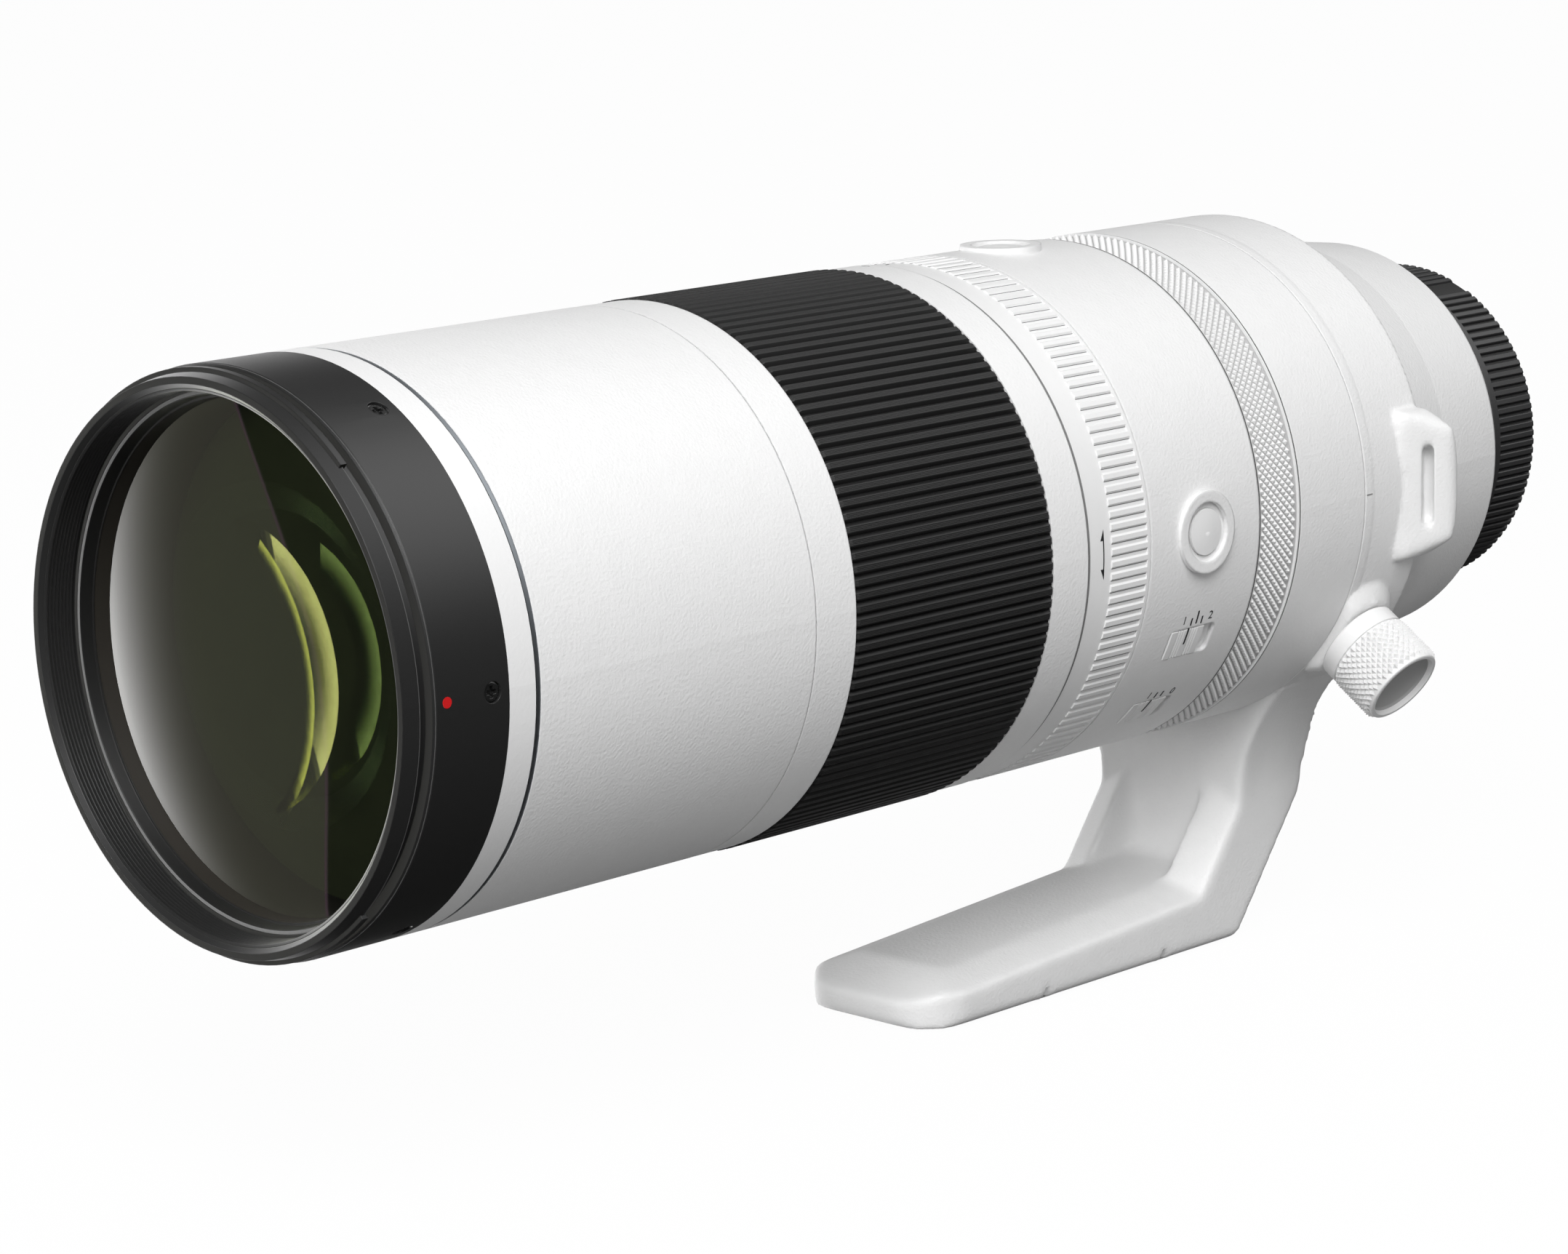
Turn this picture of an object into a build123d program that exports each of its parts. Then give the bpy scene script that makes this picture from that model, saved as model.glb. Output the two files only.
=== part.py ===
from build123d import *
import os
from math import atan2, cos, sin, radians, degrees, sqrt

# Telephoto zoom lens. The lens axis is Y: the front glass looks along -Y and the camera is at +Y.
# Z is up, and +X is the side with the switches. Distances along the axis start at the mount flange.

# Lengths of the outer zones, from the camera end to the front rim
shell_end_gap = 7.75
rear_shell_length = 37.25
collar_length = 20.2
rear_band_length = 20.4
control_ring_length = 12.9
switch_barrel_length = 32.3
tension_ring_length = 17.9
zoom_ring_length = 72.55
outer_barrel_length = 64.5
mouth_ring_length = 1.05
name_band_length = 5.9
front_ring_length = 21.4

# Nested barrel radii
barrel_radius = 51.15
ring_depth = 2.25
sleeve_wall = 1.0
front_tube_wall = 1.0
guide_wall = 1.0
cam_wall = 1.0

# Fits
clearance = 0.3
fit = 0.05
seam = 0.3
overrun = 2.0

# Zoom movement
zoom_turn = 120.0
variator_travel = 24.0
follower_count = 3
variator_angle = 60.0
follower_radius = 2.0
key_width = 5.0
key_setback = 6.9
key_sink = 0.9
tube_end_gap = 10.0
follower_setback = 6.0
cam_nose = 8.0
variator_setback = 9.0
variator_follower_radius = 1.6
cam_tail = 8.0

# Front ring
rim_drop = 1.65
rim_width = 1.2
rim_wall = 2.0
filter_thread_lead = 0.8
filter_thread_length = 6.5
hood_band_length = 3.1
hood_groove_drop = 2.35
hood_groove_length = 2.2
hood_lug_height = 0.7
hood_lug_length = 1.3
hood_lug_turn = 84.0
hood_lug_angles = (90.0, 270.0)
shoulder_chamfer = 0.5
front_spigot_length = 7.0
front_screw_setback = 3.6
front_screw_count = 6
front_screw_head_radius = 1.75
front_screw_head_depth = 0.9
front_screw_sink = 0.35
front_screw_radius = 0.9

# First lens group
cell_wall = 1.0
cell_gap = 3.0
first_group_length = 20.4
cell_lip = 1.6
cell_lip_length = 1.5
glass_depth = 13.1
retainer_wall = 1.75
retainer_bevel = 0.9
retainer_gap = 0.3
front_glass_curve = 220.0
front_glass_back_curve = 420.0
front_glass_edge = 4.2
second_glass_curve = 300.0
second_glass_back_curve = 200.0
second_glass_edge = 4.5

# Variator, stabiliser, focus and rear groups
variator_glass_radius = 21.0
variator_glass_curve = 60.0
variator_cell_length = 9.0
cell_web = 2.0
group_bore_wall = 1.6
stabiliser_glass_radius = 17.0
stabiliser_glass_curve = 70.0
stabiliser_length = 9.0
stabiliser_setback = 1.5
focus_glass_radius = 15.0
focus_glass_curve = 55.0
focus_cell_length = 8.0
focus_cell_gap = 5.0
focus_travel = 14.0
focus_cell_radius = 32.0
rail_radius = 1.5
rail_circle_radius = 27.5
rail_count = 2
rail_angle = 90.0
rail_seat = 2.0
rear_glass_radius = 20.0
rear_glass_curve = 75.0
rear_glass_edge = 3.0
rear_cell_length = 8.0

# Zoom ring and its rubber grip
grip_front_land = 10.1
grip_rear_land = 9.9
grip_depth = 1.15
grip_rise = 0.25

# Buttons and switches on the switch barrel
button_setback = 16.8
button_pad_radius = 8.0
button_pad_height = 0.75
button_well_radius = 5.8
button_well_depth = 1.0
button_radius = 4.5
button_travel = 0.6
button_length = 2.6
button_proud = 0.25
button_dome = 0.35
button_angles = (0.0, 90.0)
switch_setback = 17.4
switch_height = 6.4
switch_length = 10.2
switch_well_depth = 1.1
switch_proud = 0.15
switch_angle = -25.6
second_switch_angle = -46.0
focus_switch_travel = 3.2
stabiliser_switch_travel = 1.65
switch_corner = 1.1
switch_groove = 0.5
switch_groove_depth = 0.35
switch_groove_steps = (-6, -4, 4, 6)

# Rear shell
collar_seat_depth = 2.15
rear_shell_step = 3.65
rear_shell_crease_share = 0.44
rear_shell_taper_share = 0.6
rear_shell_overhang = 8.7
rear_shell_edge = 0.42
shell_wall = 2.0
spigot_length = 6.0
spigot_wall = 1.0

# Mount
flange_radius = 33.0
flange_thickness = 1.2
mount_tube_radius = 25.4
mount_tube_wall = 1.4
mount_tube_length = 5.4
mount_tube_seat = 6.0
mount_lug_height = 1.4
mount_lug_thickness = 1.6
mount_lug_turn = 50.0
mount_lug_count = 3
mount_lug_angle = 90.0
mount_base_depth = 6.0
gasket_radius = 34.6
gasket_thickness = 0.5
mount_screw_count = 4
mount_screw_angle = 45.0
mount_screw_circle = 29.6
mount_screw_radius = 0.9
mount_screw_head_radius = 1.6
mount_screw_head_depth = 0.7
mount_screw_length = 4.0
contact_count = 12
contact_radius = 0.75
contact_pitch = 9.0
contact_turn = 5.0
contact_block_turn = 116.0
contact_block_thickness = 2.4
contact_block_length = 5.0
contact_proud = 0.6
board_radius = 36.0
board_bore = 29.0
board_thickness = 1.6
board_notch = 36.0
bottom_angle = 270.0

# Rear cap
cap_rim_radius = 35.3
cap_rim_length = 2.1
cap_length = 15.9
cap_gap = 0.6
cap_tooth_radius = 34.7
cap_tooth_height = 0.6
cap_wall = 1.7
cap_floor = 1.8
cap_edge = 0.8
cap_ring_wall = 1.3
cap_lug_turn = 40.0
cap_lug_thickness = 1.4

# Tripod collar, strap lugs and lock knob
collar_edge = 0.5
lug_width = 30.0
lug_top_width = 22.4
lug_rise = 5.7
lug_front_setback = 8.2
lug_crest_setback = 1.2
lug_overhang = 4.4
lug_bow = 34.0
lug_thickness = 2.6
lug_slot_width = 2.2
lug_slot_length = 16.4
lug_slot_tilt = 60.0
lug_angles = (0.0, 180.0)
knob_angle = -35.3
knob_setback = 6.7
knob_radius = 9.25
knob_neck_radius = 8.95
knob_neck_length = 3.75
knob_length = 14.7
knob_gap = 0.3
knob_rim = 1.1
knob_dish = 0.9
knob_shaft_radius = 3.0
knob_shaft_length = 3.4
knob_boss_radius = 9.3
knob_boss_height = 2.1
knob_boss_root = 3.0
knob_boss_spread = 4.2

# Foot
foot_reach = 44.85
foot_width = 38.0
foot_front_setback = 94.8
foot_corner = 11.5
foot_toe_thickness = 9.0
foot_slope = 0.058
foot_edge = 1.2
foot_border_drop = 2.8
foot_border_width = 8.0
toe_border_drop = 3.6
toe_border_width = 12.0
nick_setback = 34.2
nick_spacing = 36.1
nick_radius = 1.2
nick_depth = 1.0
heel_setback = 21.3
heel_radius = 4.0
knee_rise = 27.8
knee_radius = 7.0
stem_overhang = 1.4
stem_neck = 6.0
stem_neck_radius = 3.0
stem_front_lead = 0.4
stem_bend_drop = 13.0
stem_bend_radius = 6.0
stem_brow = 15.4
stem_brow_radius = 5.0
stem_brow_run = 4.0
stem_face_drop = 17.6
stem_face_slope = 0.76
stem_face_sweep = 0.49
stem_root_share = 0.74
pocket_width = 20.0
pocket_corner = 3.0
pocket_floor_radius = 4.0
flare_radius = 36.0
bush_radius = 5.5
bush_depth = 5.5
bush_hole_radius = 3.175
bush_toe_distance = 67.8

# Stations along the axis
y_shell = -shell_end_gap
y_collar_rear = y_shell - rear_shell_length
y_collar_front = y_collar_rear - collar_length
y_band_front = y_collar_front - rear_band_length
y_control_front = y_band_front - control_ring_length
y_switch_front = y_control_front - switch_barrel_length
y_tension_front = y_switch_front - tension_ring_length
y_zoom_front = y_tension_front - zoom_ring_length
y_outer_front = y_zoom_front - outer_barrel_length
y_mouth_front = y_outer_front - mouth_ring_length
y_name_front = y_mouth_front - name_band_length
y_front = y_name_front - front_ring_length

# Radii that follow from the nesting
sleeve_radius = barrel_radius - ring_depth
sleeve_bore = sleeve_radius - sleeve_wall
front_tube_radius = sleeve_bore - clearance
front_tube_bore = front_tube_radius - front_tube_wall
guide_radius = front_tube_bore - clearance
guide_bore = guide_radius - guide_wall
cam_radius = guide_bore - clearance
cam_bore = cam_radius - cam_wall
ring_bore = sleeve_radius + clearance
rim_radius = barrel_radius - rim_drop
filter_thread_radius = rim_radius - rim_wall
hood_groove_radius = barrel_radius - hood_groove_drop

# Places that follow from the zoom movement
y_key = y_tension_front - key_setback
y_tube_rear = y_key - tube_end_gap
y_follower = y_tube_rear - follower_setback
y_glass = y_front + glass_depth
y_cell_rear = y_glass + first_group_length
y_cam_front = y_cell_rear + cell_gap
zoom_travel = y_follower - cam_nose - y_cam_front
y_variator = y_key + variator_setback
y_cam_rear = y_variator + variator_travel + cam_tail
y_guide_rear = y_cam_rear + clearance
slot_radius = follower_radius + clearance
variator_slot_radius = variator_follower_radius + clearance
key_turn = degrees(key_width / sleeve_radius)

# First lens group
cell_radius = front_tube_bore - fit
cell_bore = cell_radius - cell_wall

# Stabiliser, focus and rear groups
y_stabiliser_rear = y_guide_rear + stabiliser_setback + stabiliser_length
y_focus_front = y_stabiliser_rear + focus_cell_gap
y_rail_rear = y_focus_front + focus_cell_length + focus_travel + focus_cell_gap
y_board = y_shell - mount_base_depth
rear_shell_front_radius = barrel_radius - rear_shell_step
rear_shell_end_radius = flange_radius + rear_shell_overhang
rear_shell_crease_radius = (rear_shell_front_radius
                            - (rear_shell_front_radius - rear_shell_end_radius) * rear_shell_taper_share)
shell_end_bore = rear_shell_end_radius - rear_shell_edge - shell_wall / 2
contact_outer = mount_tube_radius - mount_tube_wall - fit

# Buttons and switches
y_button = y_control_front - button_setback + seam
pad_top_radius = barrel_radius + button_pad_height
button_top = pad_top_radius - button_well_depth + button_travel + button_proud
button_floor = button_top - button_length - button_travel - fit
y_switch = y_control_front - switch_setback

# Collar, knob and foot
y_knob = y_collar_front + knob_setback
y_toe = y_collar_front - foot_front_setback
y_bush = y_toe + bush_toe_distance
foot_drop = barrel_radius + foot_reach
y_web = y_collar_front - stem_front_lead
foot_top = foot_toe_thickness - foot_drop


def turned(*corners):
    """A solid turned about the lens axis from the (radius, distance) corners of its section."""
    return revolve(make_face(Polyline(*corners, close=True)), Axis.Y)


def tube(outer, inner, rear, front):
    """A plain tube about the lens axis."""
    return turned((outer, rear), (outer, front), (inner, front), (inner, rear))


def around(shape, angle):
    """The shape turned about the lens axis, from +X towards +Z."""
    return shape.rotate(Axis.Y, -angle)


def radial_pin(radius, inner, outer, y, angle):
    """A round pin that points away from the lens axis."""
    pin = Solid.make_cylinder(radius, outer - inner, Plane(origin=(inner, y, 0), z_dir=(1, 0, 0)))
    return around(pin, angle)


def axial_pin(radius, front, rear, circle, angle):
    """A round pin along the lens axis, off it by the circle's radius."""
    pin = Solid.make_cylinder(radius, rear - front, Plane(origin=(circle, front, 0), z_dir=(0, 1, 0)))
    return around(pin, angle)


def sector(outer, inner, rear, front, start, turn):
    """Part of a tube, from the start angle through the turn."""
    section = make_face(Polyline((outer, rear), (outer, front), (inner, front), (inner, rear), close=True))
    piece = revolve(section, Axis.Y, turn)
    return around(piece, start + turn)


def group(*solids):
    """Separate solids kept in one sub-part."""
    return Compound(children=list(solids))


def sag(radius, curve):
    """How deep a sphere of this curve is at this radius."""
    return curve - sqrt(curve * curve - radius * radius)


def glass(radius, front_y, rear_y, front_curve, rear_curve):
    """A lens element with its edge between front_y and rear_y. A positive curve bulges outwards."""
    front_sign = 1 if front_curve > 0 else -1
    rear_sign = 1 if rear_curve > 0 else -1
    front_bulge = front_sign * sag(radius, abs(front_curve))
    rear_bulge = rear_sign * sag(radius, abs(rear_curve))
    front_pole = front_y - front_bulge
    rear_pole = rear_y + rear_bulge
    front_middle = front_pole + front_sign * sag(radius / 2, abs(front_curve))
    rear_middle = rear_pole - rear_sign * sag(radius / 2, abs(rear_curve))
    front_arc = ThreePointArc((0, front_pole), (radius / 2, front_middle), (radius, front_y))
    edge = Line((radius, front_y), (radius, rear_y))
    rear_arc = ThreePointArc((radius, rear_y), (radius / 2, rear_middle), (0, rear_pole))
    axis = Line((0, rear_pole), (0, front_pole))
    return revolve(make_face([front_arc, edge, rear_arc, axis]), Axis.Y)


def helical_slot(tube_outer, tube_inner, y_start, travel, turn, angle, radius):
    """A cutter for a cam slot: it starts at the angle and climbs along the axis through the turn."""
    mid_radius = (tube_outer + tube_inner) / 2
    depth = tube_outer - tube_inner + 2 * overrun
    pitch = abs(travel) * 360 / turn
    path = Helix(pitch, abs(travel), mid_radius, lefthand=travel < 0)
    start = path @ 0
    profile = Plane(origin=start, x_dir=(1, 0, 0), z_dir=path % 0) * Rectangle(depth, 2 * radius)
    start_place = Plane(origin=(mid_radius - depth / 2, 0, 0), z_dir=(1, 0, 0))
    first = Solid.make_cylinder(radius + fit, depth, start_place)
    last = first.rotate(Axis.Z, -turn if travel < 0 else turn).translate((0, 0, abs(travel)))
    # The helix is drawn upright and laid down so that it climbs towards the front.
    cutter = sweep(profile, path, is_frenet=True) + first + last
    return around(cutter.rotate(Axis.X, 90).translate((0, y_start, 0)), angle)


def spread(count, first=0.0):
    """Evenly spaced angles."""
    return [first + 360.0 * index / count for index in range(count)]


def front_ring():
    """Black front ring: filter thread, hood bayonet band, shoulder and screw seats."""
    y_band = y_front + hood_band_length
    y_shoulder = y_band + hood_groove_length
    bore = front_tube_bore
    seat = front_tube_radius + fit
    y_seat = y_name_front - front_spigot_length - fit
    body = turned(
        (rim_radius, y_front),
        (rim_radius + rim_width / 2, y_band),
        (hood_groove_radius, y_band),
        (hood_groove_radius, y_shoulder),
        (barrel_radius - shoulder_chamfer, y_shoulder),
        (barrel_radius, y_shoulder + shoulder_chamfer),
        (barrel_radius, y_name_front),
        (seat, y_name_front),
        (seat, y_seat),
        (bore, y_seat),
        (bore, y_front + filter_thread_lead + filter_thread_length),
        (filter_thread_radius, y_front + filter_thread_lead + filter_thread_length),
        (filter_thread_radius, y_front + filter_thread_lead),
        (rim_radius - rim_width, y_front),
    )
    lug_outer = rim_radius + rim_width / 2 + hood_lug_height
    for centre in hood_lug_angles:
        body += sector(lug_outer, hood_groove_radius, y_band + hood_lug_length / 2,
                       y_band - hood_lug_length / 2, centre - hood_lug_turn / 2, hood_lug_turn)
    y_screw = y_name_front - front_screw_setback
    head_floor = barrel_radius - front_screw_sink - front_screw_head_depth
    for angle in spread(front_screw_count):
        body -= radial_pin(front_screw_head_radius + fit, head_floor - fit, barrel_radius + overrun,
                           y_screw, angle)
        body -= radial_pin(front_screw_radius + fit, bore, head_floor, y_screw, angle)
    return body


def front_screws():
    """Six radial screws that hold the front ring to the front tube."""
    y_screw = y_name_front - front_screw_setback
    head_floor = barrel_radius - front_screw_sink - front_screw_head_depth
    screws = []
    for angle in spread(front_screw_count):
        head = radial_pin(front_screw_head_radius, head_floor, barrel_radius - front_screw_sink,
                          y_screw, angle)
        shank = radial_pin(front_screw_radius, front_tube_bore + clearance, head_floor, y_screw, angle)
        screws.append(head + shank)
    return group(*screws)


def front_tube():
    """White inner barrel that slides out, with the band that closes the outer barrel at its front."""
    y_band_rear = y_mouth_front - seam / 2
    body = turned(
        (front_tube_radius, y_name_front - front_spigot_length),
        (front_tube_radius, y_name_front),
        (barrel_radius, y_name_front),
        (barrel_radius, y_band_rear),
        (front_tube_radius, y_band_rear),
        (front_tube_radius, y_tube_rear),
        (front_tube_bore, y_tube_rear),
        (front_tube_bore, y_name_front - front_spigot_length),
    )
    y_screw = y_name_front - front_screw_setback
    for angle in spread(front_screw_count):
        body -= radial_pin(front_screw_radius + fit, front_tube_bore - overrun, barrel_radius, y_screw, angle)
    for angle in spread(follower_count):
        body -= radial_pin(follower_radius + fit, front_tube_bore - overrun, sleeve_bore, y_follower, angle)
    return body


def cam_followers():
    """Three pins that carry the front tube: they run in the guide slots and in the cam slots."""
    pins = [radial_pin(follower_radius, cam_bore + fit, front_tube_radius - fit, y_follower, angle)
            for angle in spread(follower_count)]
    return group(*pins)


def front_cell():
    """Cell of the first lens group, inside the front tube."""
    return turned(
        (cell_radius, y_glass),
        (cell_radius, y_cell_rear),
        (cell_bore - cell_lip, y_cell_rear),
        (cell_bore - cell_lip, y_cell_rear - cell_lip_length),
        (cell_bore, y_cell_rear - cell_lip_length),
        (cell_bore, y_glass),
    )


def front_retainer():
    """Black threaded ring that clamps the front glass, with a bevel towards the light."""
    y_start = y_front + filter_thread_lead + filter_thread_length
    return turned(
        (cell_radius, y_start),
        (cell_radius, y_glass - fit),
        (cell_radius - retainer_wall, y_glass - fit),
        (cell_radius - retainer_bevel, y_start),
    )


def front_element():
    """Large convex front glass."""
    front = y_glass + retainer_gap
    return glass(cell_bore - fit, front, front + front_glass_edge, front_glass_curve, front_glass_back_curve)


def second_element():
    """Second glass of the first group, hollow towards the camera."""
    y_rear = y_cell_rear - cell_lip_length - fit
    y_edge = y_rear - second_glass_edge
    return glass(cell_bore - fit, y_edge, y_rear, second_glass_curve, -second_glass_back_curve)


def mouth_ring():
    """Thin metal ring at the mouth of the outer barrel."""
    return tube(barrel_radius - seam / 2, sleeve_bore, y_outer_front, y_mouth_front + seam / 2)


def outer_barrel():
    """Fixed front barrel. Its sleeve runs on under the zoom ring, with a window for the zoom key."""
    y_sleeve_rear = y_tension_front - seam
    body = turned(
        (barrel_radius, y_zoom_front),
        (barrel_radius, y_outer_front),
        (sleeve_bore, y_outer_front),
        (sleeve_bore, y_sleeve_rear),
        (sleeve_radius, y_sleeve_rear),
        (sleeve_radius, y_zoom_front),
    )
    return body - key_window(sleeve_radius, sleeve_bore)


def key_window(outer, inner):
    """Cutter for the arc that the zoom key sweeps."""
    half = key_width / 2 + clearance
    return sector(outer + clearance, inner - clearance, y_key + half, y_key - half,
                  bottom_angle - zoom_turn / 2 - key_turn, zoom_turn + 2 * key_turn)


def key_solid(margin):
    """The zoom key at rest, or the seat that it fits with this margin."""
    half = key_width / 2 + margin
    turn = key_turn + 2 * degrees(margin / cam_radius)
    return sector(ring_bore + key_sink + margin, cam_bore, y_key + half, y_key - half,
                  bottom_angle + zoom_turn / 2 - turn / 2, turn)


def zoom_key():
    """Key that ties the zoom ring to the cam barrel, through the windows of the sleeve and guide tube."""
    return key_solid(0)


def guide_tube():
    """Fixed inner tube whose straight slots keep the followers from turning."""
    flange_radius_inside = sleeve_bore - fit
    body = turned(
        (guide_radius, y_cam_front),
        (guide_radius, y_guide_rear - guide_wall),
        (flange_radius_inside, y_guide_rear - guide_wall),
        (flange_radius_inside, y_guide_rear),
        (guide_bore, y_guide_rear),
        (guide_bore, y_cam_front),
    )
    depth = guide_wall + overrun
    for angle in spread(follower_count):
        body -= straight_slot(slot_radius, depth, y_follower, y_follower - zoom_travel, angle)
    for angle in spread(follower_count, variator_angle):
        body -= straight_slot(variator_slot_radius, depth, y_variator + variator_travel, y_variator, angle)
    return body - key_window(guide_radius, guide_bore)


def straight_slot(radius, depth, rear, front, angle):
    """Cutter for a straight guide slot with round ends."""
    middle = (guide_radius + guide_bore) / 2
    outline = Plane(origin=(middle - depth / 2, (rear + front) / 2, 0), x_dir=(0, 1, 0), z_dir=(1, 0, 0))
    cutter = extrude(outline * SlotCenterToCenter(rear - front, 2 * radius), amount=depth)
    return around(cutter, angle)


def cam_barrel():
    """Rotating cam barrel with three long helical slots for the front tube and three for the variator."""
    body = tube(cam_radius, cam_bore, y_cam_rear, y_cam_front)
    for angle in spread(follower_count):
        body -= helical_slot(cam_radius, cam_bore, y_follower, zoom_travel, zoom_turn, angle, slot_radius)
    for angle in spread(follower_count, variator_angle + zoom_turn):
        y_last = y_variator + variator_travel
        body -= helical_slot(cam_radius, cam_bore, y_last, -variator_travel, zoom_turn, angle,
                             variator_slot_radius)
    return body - key_solid(fit)


def variator_followers():
    """Three pins that carry the variator cell."""
    pins = [radial_pin(variator_follower_radius, cam_bore - clearance - group_bore_wall, guide_radius - fit,
                       y_variator, angle) for angle in spread(follower_count, variator_angle)]
    return group(*pins)


def group_cell(outer, glass_radius, rear, front):
    """A lens cell: outer ring, thin web and inner seat for one element."""
    middle = (rear + front) / 2
    half_web = cell_web / 2
    seat = glass_radius + fit
    return turned(
        (outer, rear),
        (outer, front),
        (outer - group_bore_wall, front),
        (outer - group_bore_wall, middle - half_web),
        (seat + group_bore_wall, middle - half_web),
        (seat + group_bore_wall, front),
        (seat, front),
        (seat, rear),
        (seat + group_bore_wall, rear),
        (seat + group_bore_wall, middle + half_web),
        (outer - group_bore_wall, middle + half_web),
        (outer - group_bore_wall, rear),
    )


def variator_cell():
    """Cell of the variator group inside the cam barrel."""
    half = variator_cell_length / 2
    body = group_cell(cam_bore - clearance, variator_glass_radius, y_variator + half, y_variator - half)
    for angle in spread(follower_count, variator_angle):
        body -= radial_pin(variator_follower_radius + fit, cam_bore - clearance - group_bore_wall - fit,
                           cam_bore + overrun, y_variator, angle)
    return body


def variator_element():
    """Glass of the variator group, hollow on both sides."""
    half = variator_cell_length / 2 - fit
    return glass(variator_glass_radius, y_variator - half, y_variator + half, -variator_glass_curve,
                 -variator_glass_curve)


def main_barrel():
    """Fixed main barrel: tension ring seat, switch barrel with its pads and wells, control ring seat."""
    y_front_end = y_tension_front - seam
    y_front_spigot = y_front_end - spigot_length / 2
    spigot = sleeve_bore - fit
    body = turned(
        (spigot, y_front_spigot),
        (spigot, y_front_end),
        (sleeve_radius, y_front_end),
        (sleeve_radius, y_switch_front),
        (barrel_radius, y_switch_front),
        (barrel_radius, y_control_front),
        (sleeve_radius, y_control_front),
        (sleeve_radius, y_band_front),
        (sleeve_bore, y_band_front),
        (sleeve_bore, y_front_end + spigot_length / 2),
        (spigot - spigot_wall, y_front_end + spigot_length / 2),
        (spigot - spigot_wall, y_front_spigot),
    )
    bore = button_radius + fit
    for angle in button_angles:
        body += radial_pin(button_pad_radius, sleeve_radius, pad_top_radius, y_button, angle)
        body -= radial_pin(button_well_radius, pad_top_radius - button_well_depth,
                           pad_top_radius + overrun, y_button, angle)
        body -= radial_pin(bore, button_floor, pad_top_radius, y_button, angle)
    switches = ((switch_angle, focus_switch_travel), (second_switch_angle, stabiliser_switch_travel))
    for angle, travel in switches:
        body -= switch_block(angle, travel + switch_length, switch_height,
                             barrel_radius - switch_well_depth, barrel_radius + overrun, 0)
    return body


def switch_block(angle, length, height, inner, outer, margin):
    """A rounded block on the barrel's side whose front end stays at the switch's rest place."""
    y_start = y_switch - switch_length / 2 + margin
    y_middle = y_start + (length - 2 * margin) / 2
    outline = Plane(origin=(inner, y_middle, 0), x_dir=(0, 1, 0), z_dir=(1, 0, 0))
    face = outline * RectangleRounded(length - 2 * margin, height - 2 * margin, switch_corner)
    return around(extrude(face, amount=outer - inner), angle)


def slider(angle):
    """Slider of one switch, with a curved top that follows the barrel and grooves for the finger."""
    block = switch_block(angle, switch_length, switch_height, barrel_radius - switch_well_depth + fit,
                         barrel_radius + overrun, fit)
    block &= tube(barrel_radius + switch_proud, sleeve_radius, y_control_front, y_switch_front)
    top = barrel_radius + switch_proud
    for step in switch_groove_steps:
        y_groove = y_switch + step * switch_groove
        block -= tube(top + overrun, top - switch_groove_depth, y_groove + switch_groove / 2,
                      y_groove - switch_groove / 2)
    return block


def button(angle):
    """Round button with a slightly domed cap."""
    dome_curve = (button_radius ** 2 + button_dome ** 2) / (2 * button_dome)
    side = button_top - button_dome
    arc = ThreePointArc((button_top, 0), (button_top - sag(button_radius / 2, dome_curve), button_radius / 2),
                        (side, button_radius))
    rest = Polyline((side, button_radius), (button_top - button_length, button_radius),
                    (button_top - button_length, 0), (button_top, 0))
    body = revolve(make_face([arc, rest]), Axis.X)
    return around(body.translate((0, y_button, 0)), angle)


def zoom_ring():
    """Wide white zoom ring with a recess for the rubber grip."""
    front = y_zoom_front + seam
    rear = y_tension_front - seam
    floor = barrel_radius - grip_depth
    body = turned(
        (barrel_radius, rear),
        (barrel_radius, rear - grip_rear_land + seam),
        (floor, rear - grip_rear_land + seam),
        (floor, front + grip_front_land - seam),
        (barrel_radius, front + grip_front_land - seam),
        (barrel_radius, front),
        (ring_bore, front),
        (ring_bore, rear),
    )
    return body - key_solid(fit)


def zoom_grip():
    """Rubber grip band, let into the zoom ring."""
    front = y_zoom_front + grip_front_land + fit
    rear = y_tension_front - grip_rear_land - fit
    return tube(barrel_radius + grip_rise, barrel_radius - grip_depth + fit, rear, front)


def tension_ring():
    """Ring that sets how firmly the zoom ring turns."""
    return tube(barrel_radius, ring_bore, y_switch_front - seam, y_tension_front + seam)


def control_ring():
    """Knurled control ring between the switch barrel and the rear band."""
    return tube(barrel_radius, ring_bore, y_band_front - seam, y_control_front + seam)


def stabiliser_unit():
    """Fixed stabiliser housing with its glass seat."""
    rear = y_guide_rear + stabiliser_setback + stabiliser_length
    return group_cell(sleeve_bore - fit, stabiliser_glass_radius, rear, y_guide_rear + stabiliser_setback)


def stabiliser_element():
    """Glass of the stabiliser."""
    front = y_guide_rear + stabiliser_setback + fit
    edge = stabiliser_length - 2 * fit
    return glass(stabiliser_glass_radius, front, front + edge, -stabiliser_glass_curve,
                 stabiliser_glass_curve)


def focus_rails():
    """Two steel rails that guide the focus cell."""
    front = y_stabiliser_rear - stabiliser_length / 2 + cell_web / 2 + fit
    return group(*[axial_pin(rail_radius, front, y_rail_rear, rail_circle_radius, angle)
                   for angle in spread(rail_count, rail_angle)])


def focus_cell():
    """Focus cell that slides on the rails."""
    rear = y_focus_front + focus_cell_length
    body = tube(focus_cell_radius, focus_glass_radius + fit, rear, y_focus_front)
    for angle in spread(rail_count, rail_angle):
        body -= axial_pin(rail_radius + fit, y_focus_front - overrun, rear + overrun,
                          rail_circle_radius, angle)
    return body


def focus_element():
    """Glass of the focus group."""
    return glass(focus_glass_radius, y_focus_front + fit, y_focus_front + focus_cell_length - fit,
                 focus_glass_curve, -focus_glass_curve)


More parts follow.
